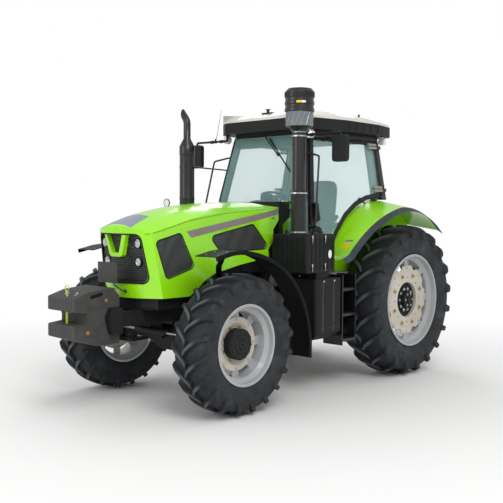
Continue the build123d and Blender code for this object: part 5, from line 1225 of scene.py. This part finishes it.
def intake_dress():
    """Clamp bands on the intake pipe, and the precleaner's clear bowl, leaning vanes, ribs and films."""
    centre = middle("air_intake")[:2]
    bands = [band_round(centre, z, radius)
             for z, radius in ((1.735, 0.084), (2.148, 0.089), (2.750, 0.078), (2.795, 0.0745))]
    piece("intake_clamps", joined(bands), stainless, "chassis", 40)
    bowl = lathe([(2.8485, 0.142), (2.852, 0.1468), (2.999, 0.1468), (3.0035, 0.150)], (*centre, 0), 96, "Z")
    piece("precleaner_bowl", bowl, bowl_clear, "chassis", 40)
    vanes = [tube(around(centre, 0.1462, a + np.array([0.0, 0.16, 0.30]), [2.862, 2.925, 2.988]), 0.0016, 6)
             for a in TAU * np.arange(16) / 16]
    piece("precleaner_vanes", joined(vanes), zinc, "chassis", 40)
    ribs = [tube(around(centre, 0.1582, a, [3.158, 3.206]), 0.0017, 5) for a in TAU * np.arange(72) / 72]
    piece("precleaner_ribs", joined(ribs), black_plastic, "chassis", 40)
    for name, start, end, material in (("white", 0.86, 1.10, label_white),
                                       ("yellow", 0.48, 0.86, label_yellow)):
        angle = np.linspace(start, end, 12)
        outer, inner = (np.stack([around(centre, radius, angle, z) for z in (3.085, 3.108)])
                        for radius in (0.1588, 0.1588 * 0.996))
        piece(f"precleaner_label_{name}", sheet_of(outer, inner), material, "chassis", 40)


def exhaust_dress():
    """Two bands round the silencer and the brace from its upper one to the cab."""
    x, y, high = middle("exhaust")[0], -0.568, 2.45
    bands = [band_round((x, y), z, 0.0855, 0.022) for z in (1.78, high)]
    piece("exhaust_bands", joined(bands), black_enamel, "chassis", 40)
    brace = tube([(x, y + 0.08, high), (x - 0.10, y + 0.10, high), (front_at(high) + 0.03, -0.62, high)],
                 0.009, 10)
    piece("exhaust_brace", brace, black_enamel, "chassis", 40)


def filter_dress():
    """Four sprung clips, an oval film and the lid's rib on the air filter's box."""
    (low, _, _), (high, face, top) = span("air_filter")
    clips = []
    for z in (1.66, 1.36):
        for x in (high - 0.30, high - 0.08):
            spring = [(x, face + 0.001, z - 0.035), (x + 0.004, face + 0.010, z),
                      (x, face + 0.001, z + 0.035)]
            foot = block((x - 0.012, face - 0.001, z + 0.028), (x + 0.012, face + 0.007, z + 0.044))
            clips += [tube(smooth_line(spring, 5), 0.004, 8), foot]
    piece("filter_clips", joined(clips), zinc, "chassis", 40)
    film = oval((low + 0.10, face + 0.0012, 1.50), (0.030, 0, 0), (0, 0, 0.045), 40)
    piece("filter_label", plate(film, (0, -0.001, 0)), label_white, "chassis", 40)
    rib = block((low + 0.02, face - 0.135, top - 0.0005), (high - 0.02, face - 0.015, top + 0.006))
    piece("filter_lid_rib", rib, black_plastic, "chassis", 35, bevel=0.003)


def tank_dress():
    """Two straps with their bolts, a weld seam and the filler's cap, on the tank and the box opposite."""
    (low, _, _), (high, outer, top) = span("fuel_tank")
    parts, caps = [], []
    for share in (0.28, 0.72):
        x = low + share * (high - low)
        parts += [block((x - 0.014, outer - 0.0065, 0.66), (x + 0.014, outer - 0.0035, 1.22)),
                  block((x - 0.020, outer - 0.006, 1.190), (x + 0.020, outer + 0.004, 1.225))]
        caps.append(bolt((x, outer + 0.004, 1.207), (0, 1, 0), 0.008, 0.007))
    piece("tank_straps", both_sides(joined(parts)), black_enamel, "chassis", 35, bevel=0.001)
    piece("tank_strap_bolts", both_sides(joined(caps)), zinc, "chassis", 40)
    seam = block((low + 0.003, outer - 0.002, 0.700), (high - 0.058, outer + 0.0015, 0.706))
    piece("tank_weld_seam", both_sides(seam), black_enamel, "chassis", 35)
    cap = [(-0.0005, 0.050), (0.027, 0.050), (0.031, 0.046), (0.031, 1e-4)]
    piece("fuel_cap", lathe(cap, (low + 0.09, 0.86, top), 40, "Z"), black_plastic, "chassis", 35)


def step_dress():
    """Raised grip lozenges on every tread, each row set over by half a step from the next."""
    grips = []
    for z in (0.550, 0.830, 1.110):
        for i in range(-4, 5):
            for j in range(-4, 5):
                x = REAR_AXLE_X + 1.120 + i * 0.026
                y = 0.880 + j * 0.027 + (0.006 if i % 2 == 0 else 0.0)
                grips.append(block((x - 0.007, y - 0.003, z - 0.001), (x + 0.007, y + 0.003, z + 0.0025)))
    piece("step_grips", both_sides(joined(grips)), black_enamel, "chassis", 40)


def fender_dress():
    """Rivets on the front fenders' tips, and two blank films on each rear fender."""
    rivet = lathe([(0.0, 0.008), (0.003, 0.0065), (0.0045, 1e-4)], (0, 0, 0), 16, "Z")
    for side, word in SIDES:
        places = [(x, side * y, AFAR) for x in (1.715, 1.600) for y in (1.02, 0.86)]
        tops = drop(f"front_fender_{word}", places, FROM_ABOVE)
        piece(f"fender_rivets_{word}", joined([moved(rivet, top) for top in tops]), zinc, f"steer_{word}", 40)
        for name, material, x0, x1, y0, y1 in (("fender_label", label_yellow, -0.375, -0.305, 0.93, 1.02),
                                               ("fender_stripe", label_blue, -0.402, -0.385, 0.92, 1.03)):
            corners = [(x1, side * y0), (x1, side * y1), (x0, side * y1), (x0, side * y0)]
            film = patch(f"rear_fender_{word}", corners, FROM_ABOVE, (0, 1), 4, 4, 0.0012)
            piece(f"{name}_{word}", film, material, "chassis", 60)


intake_dress()
exhaust_dress()
filter_dress()
tank_dress()
step_dress()
fender_dress()

# ------------------------------------------------------------------ stage, light and camera
def stage():
    """A pale floor that turns white far off, a plain white world, and three soft lamps."""
    bpy.ops.mesh.primitive_plane_add(size=80, location=(0, 0, 0))
    floor = bpy.context.object
    floor.name = "floor"
    material, tree, shader = finish_of("pale studio floor", "f4f4f3", Roughness=0.7)
    reach = put(tree, "ShaderNodeVectorMath", dict(operation="LENGTH"), _0=object_coordinates(tree))
    far = band(tree, reach.outputs["Value"], 2.6, 6.5)
    seen = put(tree, "ShaderNodeLightPath").outputs["Is Camera Ray"]
    share = put(tree, "ShaderNodeMath", dict(operation="MULTIPLY"), _0=far, _1=seen).outputs["Value"]
    white = put(tree, "ShaderNodeEmission", Color=(1, 1, 1, 1), Strength=1.0).outputs["Emission"]
    mixed = put(tree, "ShaderNodeMixShader", _0=share, _1=shader.outputs["BSDF"], _2=white).outputs["Shader"]
    tree.links.new(mixed, tree.nodes["Material Output"].inputs["Surface"])
    floor.data.materials.append(material)
    floor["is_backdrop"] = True
    world = bpy.data.worlds.new("studio")
    bpy.context.scene.world = world
    world.use_nodes = True
    tree = world.node_tree
    rays = put(tree, "ShaderNodeLightPath")
    shown = put(tree, "ShaderNodeMath", dict(operation="MAXIMUM"), _0=rays.outputs["Is Camera Ray"],
                _1=rays.outputs["Is Transmission Ray"]).outputs["Value"]
    strength = put(tree, "ShaderNodeMapRange", _0=shown, _3=0.72, _4=1.0).outputs["Result"]
    background = tree.nodes["Background"]
    background.inputs["Color"].default_value = (1, 1, 1, 1)
    tree.links.new(strength, background.inputs["Strength"])
    for name, place, size, power in (("key", (4.5, 6.5, 7.5), 4.0, 330), ("fill", (8.5, -2.0, 4.0), 4.0, 120),
                                     ("back", (-6.0, -5.0, 6.5), 4.0, 160)):
        lamp = bpy.data.lights.new(name, "AREA")
        lamp.size = size
        lamp.energy = power
        thing = bpy.data.objects.new(name, lamp)
        bpy.context.scene.collection.objects.link(thing)
        thing.location = place
        thing.rotation_euler = (Vector((0, 0, 1.2)) - Vector(place)).to_track_quat("-Z", "Y").to_euler()


def camera():
    """Front left, a little above the hood, with a lens of about 57 mm."""
    yaw, pitch, roll = -2.3982, 0.049, 0.0055
    ahead = Vector((math.cos(yaw) * math.cos(pitch), math.sin(yaw) * math.cos(pitch), -math.sin(pitch)))
    right = ahead.cross(Vector((0, 0, 1))).normalized()
    up = right.cross(ahead)
    right, up = (math.cos(roll) * right + math.sin(roll) * up, math.cos(roll) * up - math.sin(roll) * right)
    data = bpy.data.cameras.new("camera")
    data.lens = 57.32
    thing = bpy.data.objects.new("camera", data)
    bpy.context.scene.collection.objects.link(thing)
    thing.matrix_world = Matrix((right, up, -ahead)).transposed().to_4x4()
    thing.location = (6.9062, 6.207, 1.9438)
    bpy.context.scene.camera = thing


stage()
camera()
bpy.context.scene.view_settings.view_transform = "Standard"
low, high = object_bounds()
